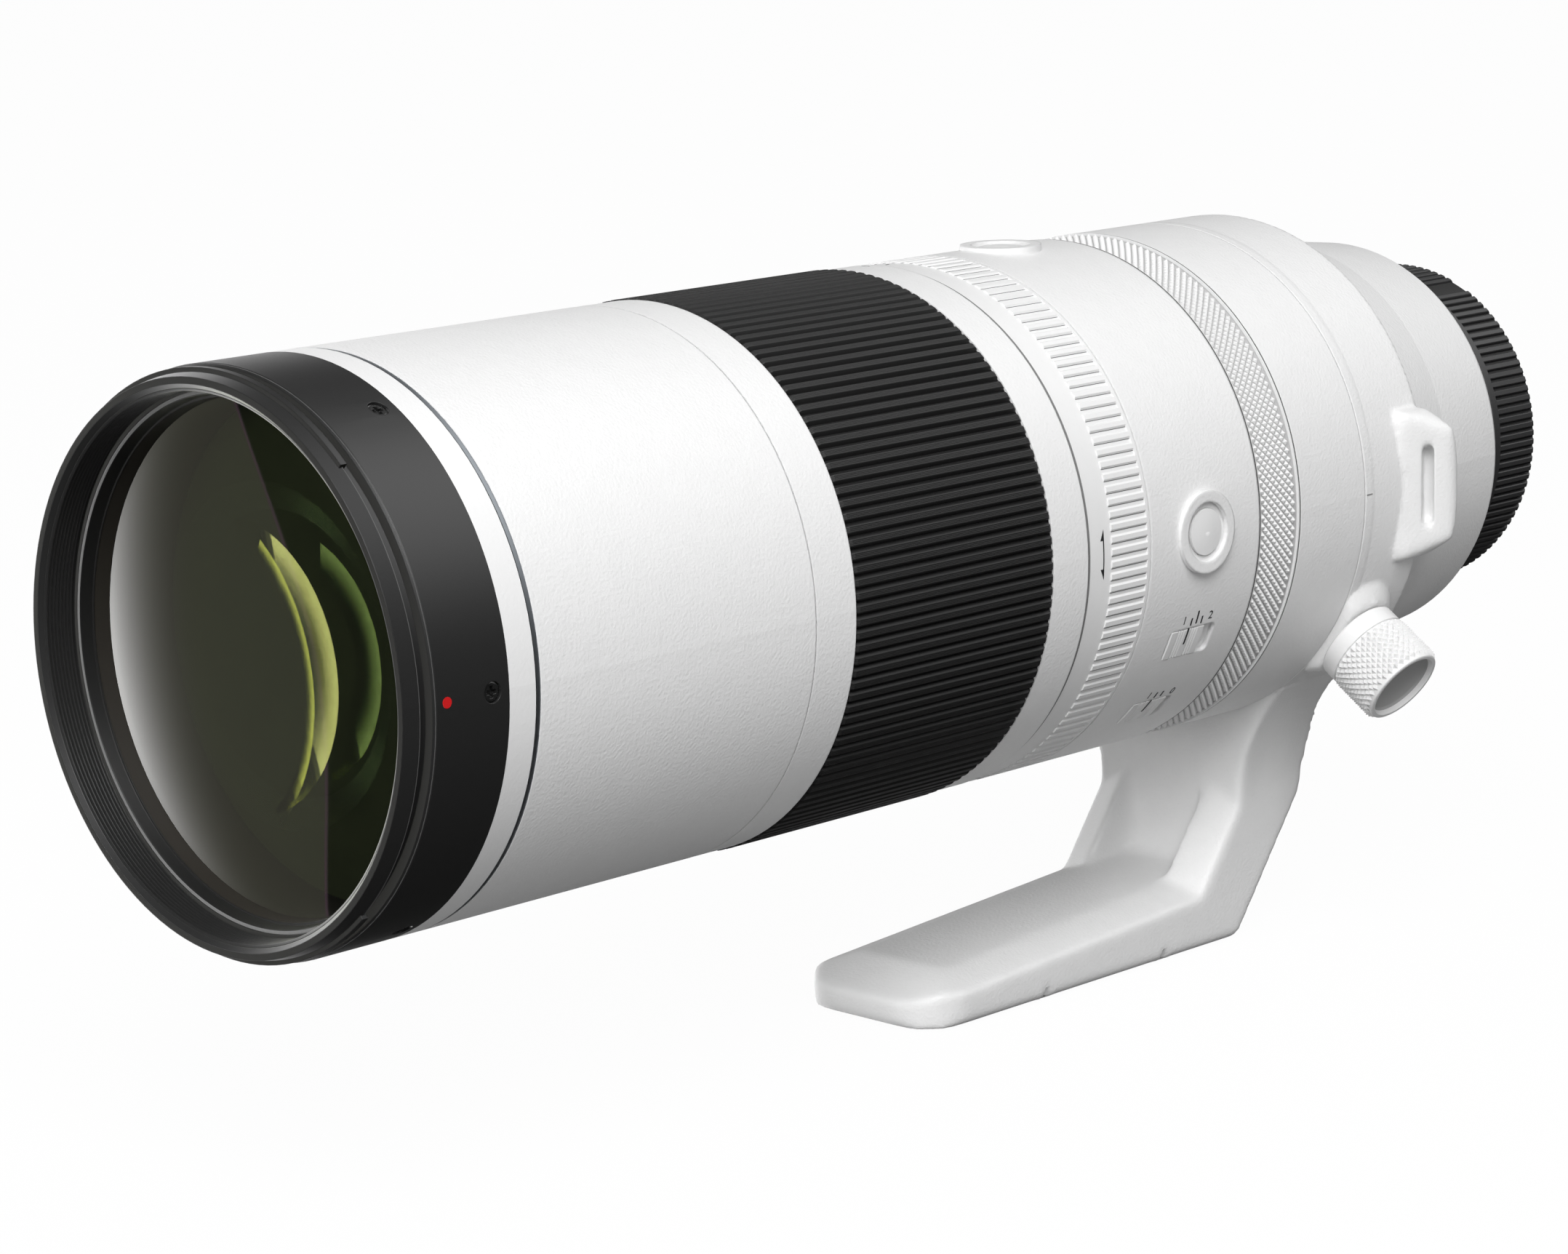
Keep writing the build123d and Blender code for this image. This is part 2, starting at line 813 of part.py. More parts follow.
def rear_barrel():
    """Fixed rear barrel: band, tripod collar seat and the white shell that narrows to the mount."""
    seat = barrel_radius - collar_seat_depth
    spigot = sleeve_bore - fit
    inner = spigot - spigot_wall
    y_crease = y_collar_rear + rear_shell_length * rear_shell_crease_share
    edge = rear_shell_edge
    return turned(
        (barrel_radius, y_band_front),
        (barrel_radius, y_collar_front),
        (seat, y_collar_front),
        (seat, y_collar_rear + seam),
        (rear_shell_front_radius, y_collar_rear + seam),
        (rear_shell_crease_radius, y_crease),
        (rear_shell_end_radius, y_shell - edge * 2),
        (rear_shell_end_radius - edge, y_shell),
        (shell_end_bore, y_shell),
        (shell_end_bore, y_shell - mount_base_depth),
        (rear_shell_crease_radius - shell_wall, y_crease),
        (inner, y_collar_rear),
        (inner, y_band_front - spigot_length),
        (spigot, y_band_front - spigot_length),
        (spigot, y_band_front),
    )


def rear_bulkhead():
    """Plate inside the rear barrel that holds the ends of the rails."""
    inner = sleeve_bore - fit - spigot_wall - fit
    body = tube(inner, focus_glass_radius + group_bore_wall, y_rail_rear + cell_web, y_rail_rear - rail_seat)
    for angle in spread(rail_count, rail_angle):
        body -= axial_pin(rail_radius + fit, y_rail_rear - rail_seat - overrun, y_rail_rear + fit,
                          rail_circle_radius, angle)
    return body


def mount_base():
    """Black mount carrier that closes the rear shell."""
    gasket_front = -flange_thickness - gasket_thickness
    outer = shell_end_bore - fit
    body = turned(
        (outer, y_shell - mount_base_depth),
        (outer, y_shell),
        (gasket_radius, gasket_front),
        (mount_tube_radius + fit, gasket_front),
        (mount_tube_radius + fit, y_shell - mount_base_depth),
    )
    for angle in spread(mount_screw_count, mount_screw_angle):
        body -= axial_pin(mount_screw_radius + fit, -mount_screw_length - fit, overrun,
                          mount_screw_circle, angle)
    return body


def mount_gasket():
    """Rubber weather seal round the flange."""
    return tube(gasket_radius, flange_radius - mount_lug_height, -flange_thickness,
                -flange_thickness - gasket_thickness)


def bayonet_mount():
    """Metal bayonet: flange, tube and three lugs."""
    body = turned(
        (flange_radius, 0),
        (flange_radius, -flange_thickness),
        (flange_radius - mount_lug_height - fit, -flange_thickness),
        (flange_radius - mount_lug_height - fit, -flange_thickness - gasket_thickness),
        (mount_tube_radius, -flange_thickness - gasket_thickness),
        (mount_tube_radius, -mount_tube_seat),
        (mount_tube_radius - mount_tube_wall, -mount_tube_seat),
        (mount_tube_radius - mount_tube_wall, mount_tube_length),
        (mount_tube_radius, mount_tube_length),
        (mount_tube_radius, 0),
    )
    for angle in spread(mount_lug_count, mount_lug_angle):
        body += sector(mount_tube_radius + mount_lug_height, mount_tube_radius - mount_tube_wall / 2,
                       mount_tube_length, mount_tube_length - mount_lug_thickness,
                       angle - mount_lug_turn / 2, mount_lug_turn)
    for angle in spread(mount_screw_count, mount_screw_angle):
        body -= axial_pin(mount_screw_radius + fit, -flange_radius, overrun, mount_screw_circle, angle)
        body -= axial_pin(mount_screw_head_radius + fit, -mount_screw_head_depth, overrun,
                          mount_screw_circle, angle)
    return body


def mount_screws():
    """Four screws that hold the bayonet flange."""
    screws = []
    for angle in spread(mount_screw_count, mount_screw_angle):
        head = axial_pin(mount_screw_head_radius, -mount_screw_head_depth, -fit, mount_screw_circle, angle)
        shank = axial_pin(mount_screw_radius, -mount_screw_length, -mount_screw_head_depth,
                          mount_screw_circle, angle)
        screws.append(head + shank)
    return group(*screws)


def contact_block():
    """Curved plastic block inside the mount tube that carries the contacts."""
    rear = mount_tube_length - contact_proud
    return sector(contact_outer, contact_outer - contact_block_thickness, rear, rear - contact_block_length,
                  bottom_angle - contact_block_turn / 2, contact_block_turn)


def contact_pins():
    """Row of contacts on the rear of the block."""
    front = mount_tube_length - contact_proud
    middle = contact_outer - contact_block_thickness / 2
    first = bottom_angle - contact_pitch * (contact_count - 1) / 2
    return group(*[sector(middle + contact_radius, middle - contact_radius, front + contact_proud / 2, front,
                          first + contact_pitch * index - contact_turn / 2, contact_turn)
                   for index in range(contact_count)])


def main_board():
    """Curved circuit board behind the mount."""
    notch = degrees(board_notch / board_radius)
    return sector(board_radius, board_bore, y_board, y_board - board_thickness,
                  bottom_angle + notch / 2, 360.0 - notch)


def rear_cell():
    """Cell of the rear element, carried by the mount base."""
    rear = -mount_tube_seat - fit
    outer = mount_tube_radius - fit
    seat = rear_glass_radius + fit
    y_glass_front = rear - rear_cell_length
    return turned(
        (outer, rear),
        (outer, y_glass_front),
        (seat - group_bore_wall, y_glass_front),
        (seat - group_bore_wall, y_glass_front + cell_web),
        (seat, y_glass_front + cell_web),
        (seat, rear),
    )


def rear_element():
    """Rear glass."""
    front = -mount_tube_seat - rear_cell_length + cell_web + fit
    return glass(rear_glass_radius, front, front + rear_glass_edge, -rear_glass_curve, rear_glass_curve)


def rear_cap():
    """Screw-on rear cap with a toothed edge and three inner lugs."""
    rear = cap_gap + cap_length
    rim = cap_gap + cap_rim_length
    ring_inner = mount_tube_radius + mount_lug_height + clearance
    ring_outer = ring_inner + cap_ring_wall
    skirt_inner = cap_tooth_radius - cap_tooth_height - cap_wall
    body = turned(
        (cap_rim_radius, cap_gap),
        (cap_rim_radius, rim),
        (cap_tooth_radius, rim),
        (cap_tooth_radius, rear - cap_edge),
        (cap_tooth_radius - cap_edge, rear),
        (0, rear),
        (0, rear - cap_floor),
        (ring_inner, rear - cap_floor),
        (ring_inner, cap_gap),
        (ring_outer, cap_gap),
        (ring_outer, rear - cap_floor),
        (skirt_inner, rear - cap_floor),
        (skirt_inner, cap_gap),
    )
    lug_rear = mount_tube_length - mount_lug_thickness - clearance
    for angle in spread(mount_lug_count, mount_lug_angle):
        body += sector(ring_inner + cap_ring_wall / 2, mount_tube_radius + clearance, lug_rear,
                       lug_rear - cap_lug_thickness, angle - cap_lug_turn / 2, cap_lug_turn)
    return body


def tripod_collar():
    """Rotating tripod collar with its foot, two strap lugs and the boss of the lock knob."""
    front = y_collar_front + seam
    inner = barrel_radius - collar_seat_depth + clearance
    body = turned(
        (barrel_radius, front),
        (inner, front),
        (inner, y_collar_rear),
        (barrel_radius - collar_edge, y_collar_rear),
        (barrel_radius, y_collar_rear - collar_edge),
    )
    for angle in lug_angles:
        body += around(strap_lug(), angle)
    body += knob_boss() & tube(barrel_radius * 2, 0, y_collar_rear, front)
    body += foot()
    body -= tube(inner, 0, y_collar_rear + rear_shell_length, front - foot_front_setback)
    body -= radial_pin(knob_shaft_radius + fit, 0, barrel_radius * 2, y_knob, knob_angle)
    body -= Solid.make_cylinder(bush_radius + fit, bush_depth + fit + overrun,
                                Plane(origin=(0, y_bush, -foot_drop - overrun)))
    return body


def knob_boss():
    """Boss under the lock knob, wide at its root."""
    place = Plane(origin=(barrel_radius - knob_boss_root, y_knob, 0), z_dir=(1, 0, 0))
    cone = Solid.make_cone(knob_boss_radius + knob_boss_spread, knob_boss_radius,
                           knob_boss_height + knob_boss_root, place)
    return around(cone, knob_angle)


def strap_lug():
    """Loop for the strap: a ramp that rises towards the camera, with a slanting slot through it."""
    inner = barrel_radius - collar_seat_depth + clearance
    y_start = y_collar_rear - lug_front_setback
    y_crest = y_collar_rear + lug_crest_setback
    y_end = y_collar_rear + lug_overhang
    crest = barrel_radius + lug_rise
    side = make_face(Polyline(
        (inner, y_start),
        (barrel_radius, y_start),
        (crest, y_crest),
        (crest, y_end - lug_thickness / 2),
        (crest - lug_thickness / 2, y_end),
        (crest - lug_thickness, y_end),
        (inner, y_collar_rear),
        close=True))
    body = extrude(side, amount=lug_width / 2, both=True)
    half = lug_width / 2
    half_top = lug_top_width / 2
    plan = Plane(origin=(0, y_end + overrun, 0), x_dir=(1, 0, 0), z_dir=(0, -1, 0))
    trapezoid = plan * make_face(Polyline(
        (inner, -half),
        (barrel_radius, -half),
        (crest, -half_top),
        (crest, half_top),
        (barrel_radius, half),
        (inner, half),
        close=True))
    body &= extrude(trapezoid, amount=lug_front_setback + lug_overhang + 2 * overrun)
    # The rear edge is bowed, as seen from the side of the lens.
    body &= Solid.make_cylinder(lug_bow, crest + overrun,
                                Plane(origin=(0, y_end - lug_bow, 0), z_dir=(1, 0, 0)))
    middle = ((barrel_radius + crest) / 2, (y_start + y_crest) / 2, 0)
    inward = (-cos(radians(lug_slot_tilt)), sin(radians(lug_slot_tilt)), 0)
    slot = Plane(origin=middle, x_dir=(0, 0, 1), z_dir=inward) * SlotOverall(lug_slot_length, lug_slot_width)
    return body - extrude(slot, amount=lug_width / 2, both=True)


def foot():
    """Tripod foot: a plate, and a stem with a pocket that flares into the collar."""
    body = foot_plate() + foot_stem()
    for y_nick in (y_toe + nick_setback, y_toe + nick_setback + nick_spacing):
        for side in (-1, 1):
            place = Plane(origin=(side * (foot_width / 2 - nick_depth), y_nick, foot_edge - foot_drop),
                          z_dir=(side, 0, 0))
            body -= Solid.make_cylinder(nick_radius, nick_depth + overrun, place)
    return body


def plate_top(y):
    """Height of the plate's top, which rises towards the stem."""
    return foot_top + (y - y_toe) * foot_slope


def foot_plate():
    """Long plate of the foot: round corners at the toe, and a top with sloping borders."""
    half = foot_width / 2
    floor = -foot_drop
    plan = make_face(FilletPolyline(
        (-half, y_web), (-half, y_toe), (half, y_toe), (half, y_web),
        radius=(0, foot_corner, foot_corner, 0), close=True))
    body = extrude(Plane.XY.offset(floor) * plan, amount=foot_reach)
    crown = make_face(Polyline(
        (-half, floor - foot_reach), (half, floor - foot_reach),
        (half, foot_top - foot_border_drop), (half - foot_border_width, foot_top),
        (-half + foot_border_width, foot_top), (-half, foot_top - foot_border_drop),
        close=True))
    length = y_web - y_toe
    crown = Plane(origin=(0, y_toe, 0), x_dir=(1, 0, 0), z_dir=(0, -1, 0)) * crown
    body &= Solid.extrude(crown.face(), Vector(0, length, length * foot_slope))
    bottom = make_face(Polyline(
        (-half, floor + foot_edge), (-half + foot_edge, floor), (half - foot_edge, floor),
        (half, floor + foot_edge), (half, 0), (-half, 0), close=True))
    body &= extrude(Plane.XZ * bottom, amount=foot_front_setback * 2, both=True)
    toe = make_face(Polyline(
        (y_toe, floor + foot_edge), (y_toe + foot_edge, floor), (y_web, floor), (y_web, 0),
        (y_toe + toe_border_width, 0), (y_toe + toe_border_width, plate_top(y_toe + toe_border_width)),
        (y_toe, foot_top - toe_border_drop), close=True))
    return body & extrude(Plane.YZ * toe, amount=foot_width, both=True)


def stem_side():
    """Side outline of the stem: round heel, knee, neck under the collar and the brow in front."""
    floor = -foot_drop
    neck = -barrel_radius - stem_neck
    root = -barrel_radius * stem_root_share
    y_brow = y_web - stem_brow
    y_run = y_brow - stem_brow_run
    corners = (
        ((y_collar_rear - heel_setback, floor), heel_radius),
        ((y_collar_rear, floor + knee_rise), knee_radius),
        ((y_collar_rear + stem_overhang, neck), stem_neck_radius),
        ((y_collar_rear, -barrel_radius), stem_neck_radius),
        ((y_collar_rear, root), 0),
        ((y_collar_front + seam, root), 0),
        ((y_collar_front + seam, -barrel_radius), 0),
        ((y_web, neck), stem_neck_radius),
        ((y_web, -barrel_radius - stem_bend_drop), stem_bend_radius),
        ((y_brow, plate_top(y_brow)), stem_brow_radius),
        ((y_run, plate_top(y_run)), 0),
        ((y_run, floor), 0),
    )
    return make_face(FilletPolyline(*[place for place, radius in corners],
                                    radius=[radius for place, radius in corners], close=True))


def stem_front():
    """Front outline of the stem: straight flanks that flare into the round of the collar."""
    half = foot_width / 2
    floor = -foot_drop
    centre_x = half + flare_radius
    centre_z = -sqrt((barrel_radius + flare_radius) ** 2 - centre_x ** 2)
    share = barrel_radius / (barrel_radius + flare_radius)
    middle = (radians(180.0) + atan2(-centre_z, -centre_x)) / 2
    bow = (centre_x + flare_radius * cos(middle), centre_z + flare_radius * sin(middle))
    touch = (centre_x * share, centre_z * share)
    arc_right = ThreePointArc((half, centre_z), bow, touch)
    arc_left = ThreePointArc((-touch[0], touch[1]), (-bow[0], bow[1]), (-half, centre_z))
    bottom = Polyline((-half, centre_z), (-half, floor + foot_edge), (-half + foot_edge, floor),
                      (half - foot_edge, floor), (half, floor + foot_edge), (half, centre_z))
    top = Polyline(touch, (0, -barrel_radius * stem_root_share), (-touch[0], touch[1]))
    return make_face([bottom, arc_right, top, arc_left])


def stem_flank():
    """Cutter for the slanting front face of one flange of the stem, in front of the web."""
    place = Plane(origin=(foot_width / 2, y_web, -barrel_radius - stem_face_drop),
                  z_dir=(stem_face_sweep, -1, stem_face_slope))
    slab = extrude(place * Rectangle(foot_drop, foot_drop), amount=foot_drop)
    return slab & Solid.make_box(foot_drop, foot_drop, foot_drop,
                                 Plane(origin=(0, y_web - foot_drop, -foot_drop)))


def foot_stem():
    """Stem of the foot, with flanges on both sides of a pocket that is open to the front."""
    body = extrude(Plane.YZ * stem_side(), amount=barrel_radius, both=True)
    body &= extrude(Plane.XZ * stem_front(), amount=foot_front_setback * 2, both=True)
    flank = stem_flank()
    body = body - flank - flank.mirror(Plane.YZ)
    side = make_face(FilletPolyline(
        (y_web, -barrel_radius), (y_web, plate_top(y_web)), (y_toe, foot_top), (y_toe, -barrel_radius),
        radius=(0, pocket_floor_radius, 0, 0), close=True))
    length = y_web - y_toe
    plan = Location((0, y_web - length / 2)) * RectangleRounded(pocket_width, length, pocket_corner)
    pocket = extrude(Plane.YZ * side, amount=foot_width, both=True)
    return body - (pocket & extrude(Plane.XY.offset(-foot_drop) * plan, amount=foot_drop))


def lock_knob():
    """Knurled lock knob with a plain neck, a dished end and its threaded shaft."""
    base = barrel_radius + knob_boss_height + knob_gap
    end = base + knob_length
    shaft_end = base - knob_shaft_length
    section = make_face(Polyline(
        (shaft_end, 0),
        (shaft_end, knob_shaft_radius),
        (base, knob_shaft_radius),
        (base, knob_neck_radius),
        (base + knob_neck_length, knob_neck_radius),
        (base + knob_neck_length, knob_radius),
        (end - knob_rim, knob_radius),
        (end, knob_radius - knob_rim),
        (end, knob_radius - 2 * knob_rim),
        (end - knob_dish, knob_radius - 3 * knob_rim),
        (end - knob_dish, 0),
        close=True))
    body = revolve(section, Axis.X)
    return around(body.translate((0, y_knob, 0)), knob_angle)


def foot_bush():
    """Threaded steel bush in the bottom of the foot."""
    floor = -foot_drop
    body = Solid.make_cylinder(bush_radius, bush_depth, Plane(origin=(0, y_bush, floor)))
    return body - Solid.make_cylinder(bush_hole_radius, bush_depth + overrun,
                                      Plane(origin=(0, y_bush, floor - overrun / 2)))


nodes = {
    "front_ring": front_ring(),
    "front_ring_screws": front_screws(),
    "front_retainer": front_retainer(),
    "front_element": front_element(),
    "second_element": second_element(),
    "front_cell": front_cell(),
    "front_tube": front_tube(),
    "cam_followers": cam_followers(),
    "mouth_ring": mouth_ring(),
    "outer_barrel": outer_barrel(),
    "guide_tube": guide_tube(),
    "cam_barrel": cam_barrel(),
    "zoom_key": zoom_key(),
    "zoom_ring": zoom_ring(),
    "zoom_grip": zoom_grip(),
    "variator_cell": variator_cell(),
    "variator_element": variator_element(),
    "variator_followers": variator_followers(),
    "tension_ring": tension_ring(),
    "main_barrel": main_barrel(),
    "side_button": button(button_angles[0]),
    "top_button": button(button_angles[1]),
    "focus_switch": slider(switch_angle),
    "stabiliser_switch": slider(second_switch_angle),
    "control_ring": control_ring(),
    "stabiliser_unit": stabiliser_unit(),
    "stabiliser_element": stabiliser_element(),
    "focus_rails": focus_rails(),
    "focus_cell": focus_cell(),
    "focus_element": focus_element(),
    "rear_bulkhead": rear_bulkhead(),
    "rear_barrel": rear_barrel(),
    "main_board": main_board(),
    "mount_base": mount_base(),
    "mount_gasket": mount_gasket(),
    "bayonet_mount": bayonet_mount(),
    "mount_screws": mount_screws(),
    "contact_block": contact_block(),
    "contact_pins": contact_pins(),
    "rear_cell": rear_cell(),
    "rear_element": rear_element(),
    "rear_cap": rear_cap(),
    "tripod_collar": tripod_collar(),
    "foot_bush": foot_bush(),
    "lock_knob": lock_knob(),
}

os.makedirs("parts", exist_ok=True)
for name, shape in nodes.items():
    export_step(shape, f"parts/{name}.step")
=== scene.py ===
import math

import bmesh
import bpy
from mathutils import Matrix, Vector


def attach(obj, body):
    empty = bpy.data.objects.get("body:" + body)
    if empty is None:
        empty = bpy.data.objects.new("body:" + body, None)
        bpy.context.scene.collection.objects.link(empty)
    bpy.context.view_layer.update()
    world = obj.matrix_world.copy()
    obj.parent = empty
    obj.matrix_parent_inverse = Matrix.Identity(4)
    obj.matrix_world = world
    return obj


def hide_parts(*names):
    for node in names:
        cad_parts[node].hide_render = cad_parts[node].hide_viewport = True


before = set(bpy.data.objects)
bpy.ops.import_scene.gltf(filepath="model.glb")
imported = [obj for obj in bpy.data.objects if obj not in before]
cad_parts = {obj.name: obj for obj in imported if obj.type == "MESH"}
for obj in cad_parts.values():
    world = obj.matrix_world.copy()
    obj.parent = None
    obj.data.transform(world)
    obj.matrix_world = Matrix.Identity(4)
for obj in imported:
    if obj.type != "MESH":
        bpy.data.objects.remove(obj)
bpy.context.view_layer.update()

# Sizes are in millimetres and angles in degrees, as in the part's source.
MM = 0.001

# Angles round the lens start at the side with the switches (+X) and go up (+Z).
barrel_radius = 51.15
axis = Vector((0, 1, 0))


# Meshes

def on_axis(angle, radius, y):
    """The point at that angle, radius and station."""
    turn = math.radians(angle)
    return Vector((radius * math.cos(turn), y, radius * math.sin(turn)))


def finished(name, mesh, finish, smooth=None):
    """A piece in metres from a bmesh in millimetres."""
    bmesh.ops.recalc_face_normals(mesh, faces=mesh.faces)
    data = bpy.data.meshes.new(name)
    mesh.to_mesh(data)
    mesh.free()
    data.transform(Matrix.Scale(MM, 4))
    if smooth is not None:
        data.shade_smooth()
        data.set_sharp_from_angle(angle=math.radians(smooth))
    data.materials.append(finish)
    piece = bpy.data.objects.new(name, data)
    bpy.context.scene.collection.objects.link(piece)
    return piece


def turned(mesh, outline, steps, start=0.0, turn=360.0):
    """Adds a closed outline of (y, radius) corners, turned about the lens axis."""
    whole = turn == 360.0
    count = steps if whole else steps + 1
    loops = []
    for step in range(count):
        angle = start + turn * step / steps
        loops.append([mesh.verts.new(on_axis(angle, radius, y)) for y, radius in outline])
    corners = len(outline)
    for step in range(steps):
        here = loops[step]
        there = loops[(step + 1) % count]
        for corner in range(corners):
            after = (corner + 1) % corners
            mesh.faces.new((here[corner], here[after], there[after], there[corner]))
    if not whole:
        mesh.faces.new(loops[0])
        mesh.faces.new(list(reversed(loops[-1])))


def ring(name, outline, finish, steps=256, smooth=30.0):
    """A ring with that outline of (y, radius) corners."""
    mesh = bmesh.new()
    turned(mesh, outline, steps)
    return finished(name, mesh, finish, smooth)


def joined(name, pieces):
    """One piece from several, each of which keeps its finish."""
    mesh = bmesh.new()
    finishes = []
    for piece in pieces:
        first = len(mesh.faces)
        mesh.from_mesh(piece.data)
        mesh.faces.ensure_lookup_table()
        own = list(piece.data.materials)
        finishes += [finish for finish in own if finish not in finishes]
        for face in mesh.faces[first:]:
            face.material_index = finishes.index(own[face.material_index])
    data = bpy.data.meshes.new(name)
    mesh.to_mesh(data)
    mesh.free()
    for finish in finishes:
        data.materials.append(finish)
    for piece in pieces:
        bpy.data.objects.remove(piece)
    whole = bpy.data.objects.new(name, data)
    bpy.context.scene.collection.objects.link(whole)
    return whole


def placed(piece, body, node=None):
    """Puts a piece on its body, in the place of a node if it replaces one."""
    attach(piece, body)
    if node:
        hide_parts(node)


def copies_tree():
    """Geometry nodes that set copies of a piece round the lens axis."""
    tree = bpy.data.node_groups.new("copies_round_axis", "GeometryNodeTree")
    for name, kind in (("Geometry", "Geometry"), ("Count", "Int"), ("Step", "Float"), ("Start", "Float"),
                       ("Finish", "Material")):
        tree.interface.new_socket(name, in_out="INPUT", socket_type="NodeSocket" + kind)
    tree.interface.new_socket("Geometry", in_out="OUTPUT", socket_type="NodeSocketGeometry")
    given = tree.nodes.new("NodeGroupInput")
    result = tree.nodes.new("NodeGroupOutput")
    places = tree.nodes.new("GeometryNodePoints")
    index = tree.nodes.new("GeometryNodeInputIndex")
    turn = tree.nodes.new("ShaderNodeMath")
    turn.operation = "MULTIPLY_ADD"
    rotation = tree.nodes.new("FunctionNodeAxisAngleToRotation")
    rotation.inputs["Axis"].default_value = axis
    copies = tree.nodes.new("GeometryNodeInstanceOnPoints")
    real = tree.nodes.new("GeometryNodeRealizeInstances")
    paint = tree.nodes.new("GeometryNodeSetMaterial")
    link = tree.links.new
    link(given.outputs["Count"], places.inputs["Count"])
    link(index.outputs["Index"], turn.inputs[0])
    link(given.outputs["Step"], turn.inputs[1])
    link(given.outputs["Start"], turn.inputs[2])
    link(turn.outputs["Value"], rotation.inputs["Angle"])
    link(places.outputs[0], copies.inputs["Points"])
    link(given.outputs["Geometry"], copies.inputs["Instance"])
    link(rotation.outputs["Rotation"], copies.inputs["Rotation"])
    link(copies.outputs["Instances"], real.inputs["Geometry"])
    link(real.outputs["Geometry"], paint.inputs["Geometry"])
    link(given.outputs["Finish"], paint.inputs["Material"])
    link(paint.outputs["Geometry"], result.inputs["Geometry"])
    return tree


round_axis = copies_tree()


def applied(piece):
    """Makes the result of a piece's modifiers its own mesh."""
    data = bpy.data.meshes.new_from_object(piece.evaluated_get(bpy.context.evaluated_depsgraph_get()))
    piece.modifiers.clear()
    piece.data = data


def copied(piece, count, finish, step=None, start=0.0):
    """Copies of a piece round the lens axis, as one mesh. Angles go up from +X."""
    step = 360.0 / count if step is None else step
    values = {"Count": count, "Step": -math.radians(step), "Start": -math.radians(start), "Finish": finish}
    modifier = piece.modifiers.new("copies", "NODES")
    modifier.node_group = round_axis
    for item in round_axis.interface.items_tree:
        if item.in_out == "INPUT" and item.name in values:
            modifier[item.identifier] = values[item.name]
    applied(piece)
    return piece


def flank(mesh, sections):
    """Closed skin over sections with the same number of points."""
    loops = [[mesh.verts.new(point) for point in section] for section in sections]
    count = len(loops[0])
    for here, there in zip(loops, loops[1:]):
        for corner in range(count):
            after = (corner + 1) % count
            mesh.faces.new((here[corner], here[after], there[after], there[corner]))
    mesh.faces.new(loops[0])
    mesh.faces.new(list(reversed(loops[-1])))


def rib(name, sections, finish, smooth=25.0):
    """One rib at angle 0. A section is (y, [(t, radius), ...]) with t along the turn."""
    mesh = bmesh.new()
    flank(mesh, [[(radius, y, t) for t, radius in outline] for y, outline in sections])
    return finished(name, mesh, finish, smooth)


def wrapped(name, outlines, angle, y, radius, finish, thickness=0.05):
    """Flat marks laid round the barrel. An outline is a list of (u, v): u along +Y, v up the turn."""
    mesh = bmesh.new()
    for outline in outlines:
        under = []
        over = []
        for u, v in outline:
            turn = angle + math.degrees(v / radius)
            under.append(mesh.verts.new(on_axis(turn, radius - thickness, y + u)))
            over.append(mesh.verts.new(on_axis(turn, radius + thickness, y + u)))
        mesh.faces.new(over)
        mesh.faces.new(list(reversed(under)))
        for corner in range(len(outline)):
            after = (corner + 1) % len(outline)
            mesh.faces.new((under[corner], under[after], over[after], over[corner]))
    return finished(name, mesh, finish)


def bar(u0, v0, u1, v1, width, steps=8):
    """A straight stroke as an outline, with points along it so that it follows the barrel."""
    along = Vector((u1 - u0, v1 - v0)).normalized()
    side = Vector((-along.y, along.x)) * width / 2
    there = [Vector((u0, v0)).lerp(Vector((u1, v1)), step / steps) for step in range(steps + 1)]
    return [tuple(point + side) for point in there] + [tuple(point - side) for point in reversed(there)]


def number(name, text, size, angle, y, radius, finish):
    """Plain numbers laid round the barrel, read along +Y."""
    curve = bpy.data.curves.new(name, "FONT")
    curve.body = text
    curve.size = size
    curve.align_x = "CENTER"
    curve.align_y = "CENTER"
    curve.extrude = 0.03
    flat = bpy.data.objects.new(name, curve)
    bpy.context.scene.collection.objects.link(flat)
    bpy.context.view_layer.update()
    data = bpy.data.meshes.new_from_object(flat.evaluated_get(bpy.context.evaluated_depsgraph_get()))
    bpy.data.objects.remove(flat)
    for vertex in data.vertices:
        along, up, height = vertex.co
        vertex.co = on_axis(angle + math.degrees(up / radius), radius + height, y + along) * MM
    data.materials.clear()
    data.materials.append(finish)
    piece = bpy.data.objects.new(name, data)
    bpy.context.scene.collection.objects.link(piece)
    return piece


# Finishes

class Channel:
    """A shader socket. A sum of such sockets and of numbers adds its Math nodes."""

    def __init__(self, tree, socket):
        self.tree = tree
        self.socket = socket

    def sum(self, operation, *values):
        """The result of one Math node on those values."""
        node = self.tree.nodes.new("ShaderNodeMath")
        node.operation = operation
        for place, value in enumerate(values):
            if isinstance(value, Channel):
                self.tree.links.new(value.socket, node.inputs[place])
            else:
                node.inputs[place].default_value = value
        return Channel(self.tree, node.outputs[0])

    def __add__(self, other):
        return self.sum("ADD", self, other)

    def __sub__(self, other):
        return self.sum("SUBTRACT", self, other)

    def __rsub__(self, other):
        return self.sum("SUBTRACT", other, self)

    def __mul__(self, other):
        return self.sum("MULTIPLY", self, other)

    def __truediv__(self, other):
        return self.sum("DIVIDE", self, other)

    def __pow__(self, other):
        return self.sum("POWER", self, other)

    def __lt__(self, other):
        return self.sum("LESS_THAN", self, other)

    def __gt__(self, other):
        return self.sum("GREATER_THAN", self, other)

    def size(self):
        """The value without its sign."""
        return self.sum("ABSOLUTE", self)

    def root(self):
        """The square root."""
        return self.sum("SQRT", self)

    __radd__ = __add__
    __rmul__ = __mul__


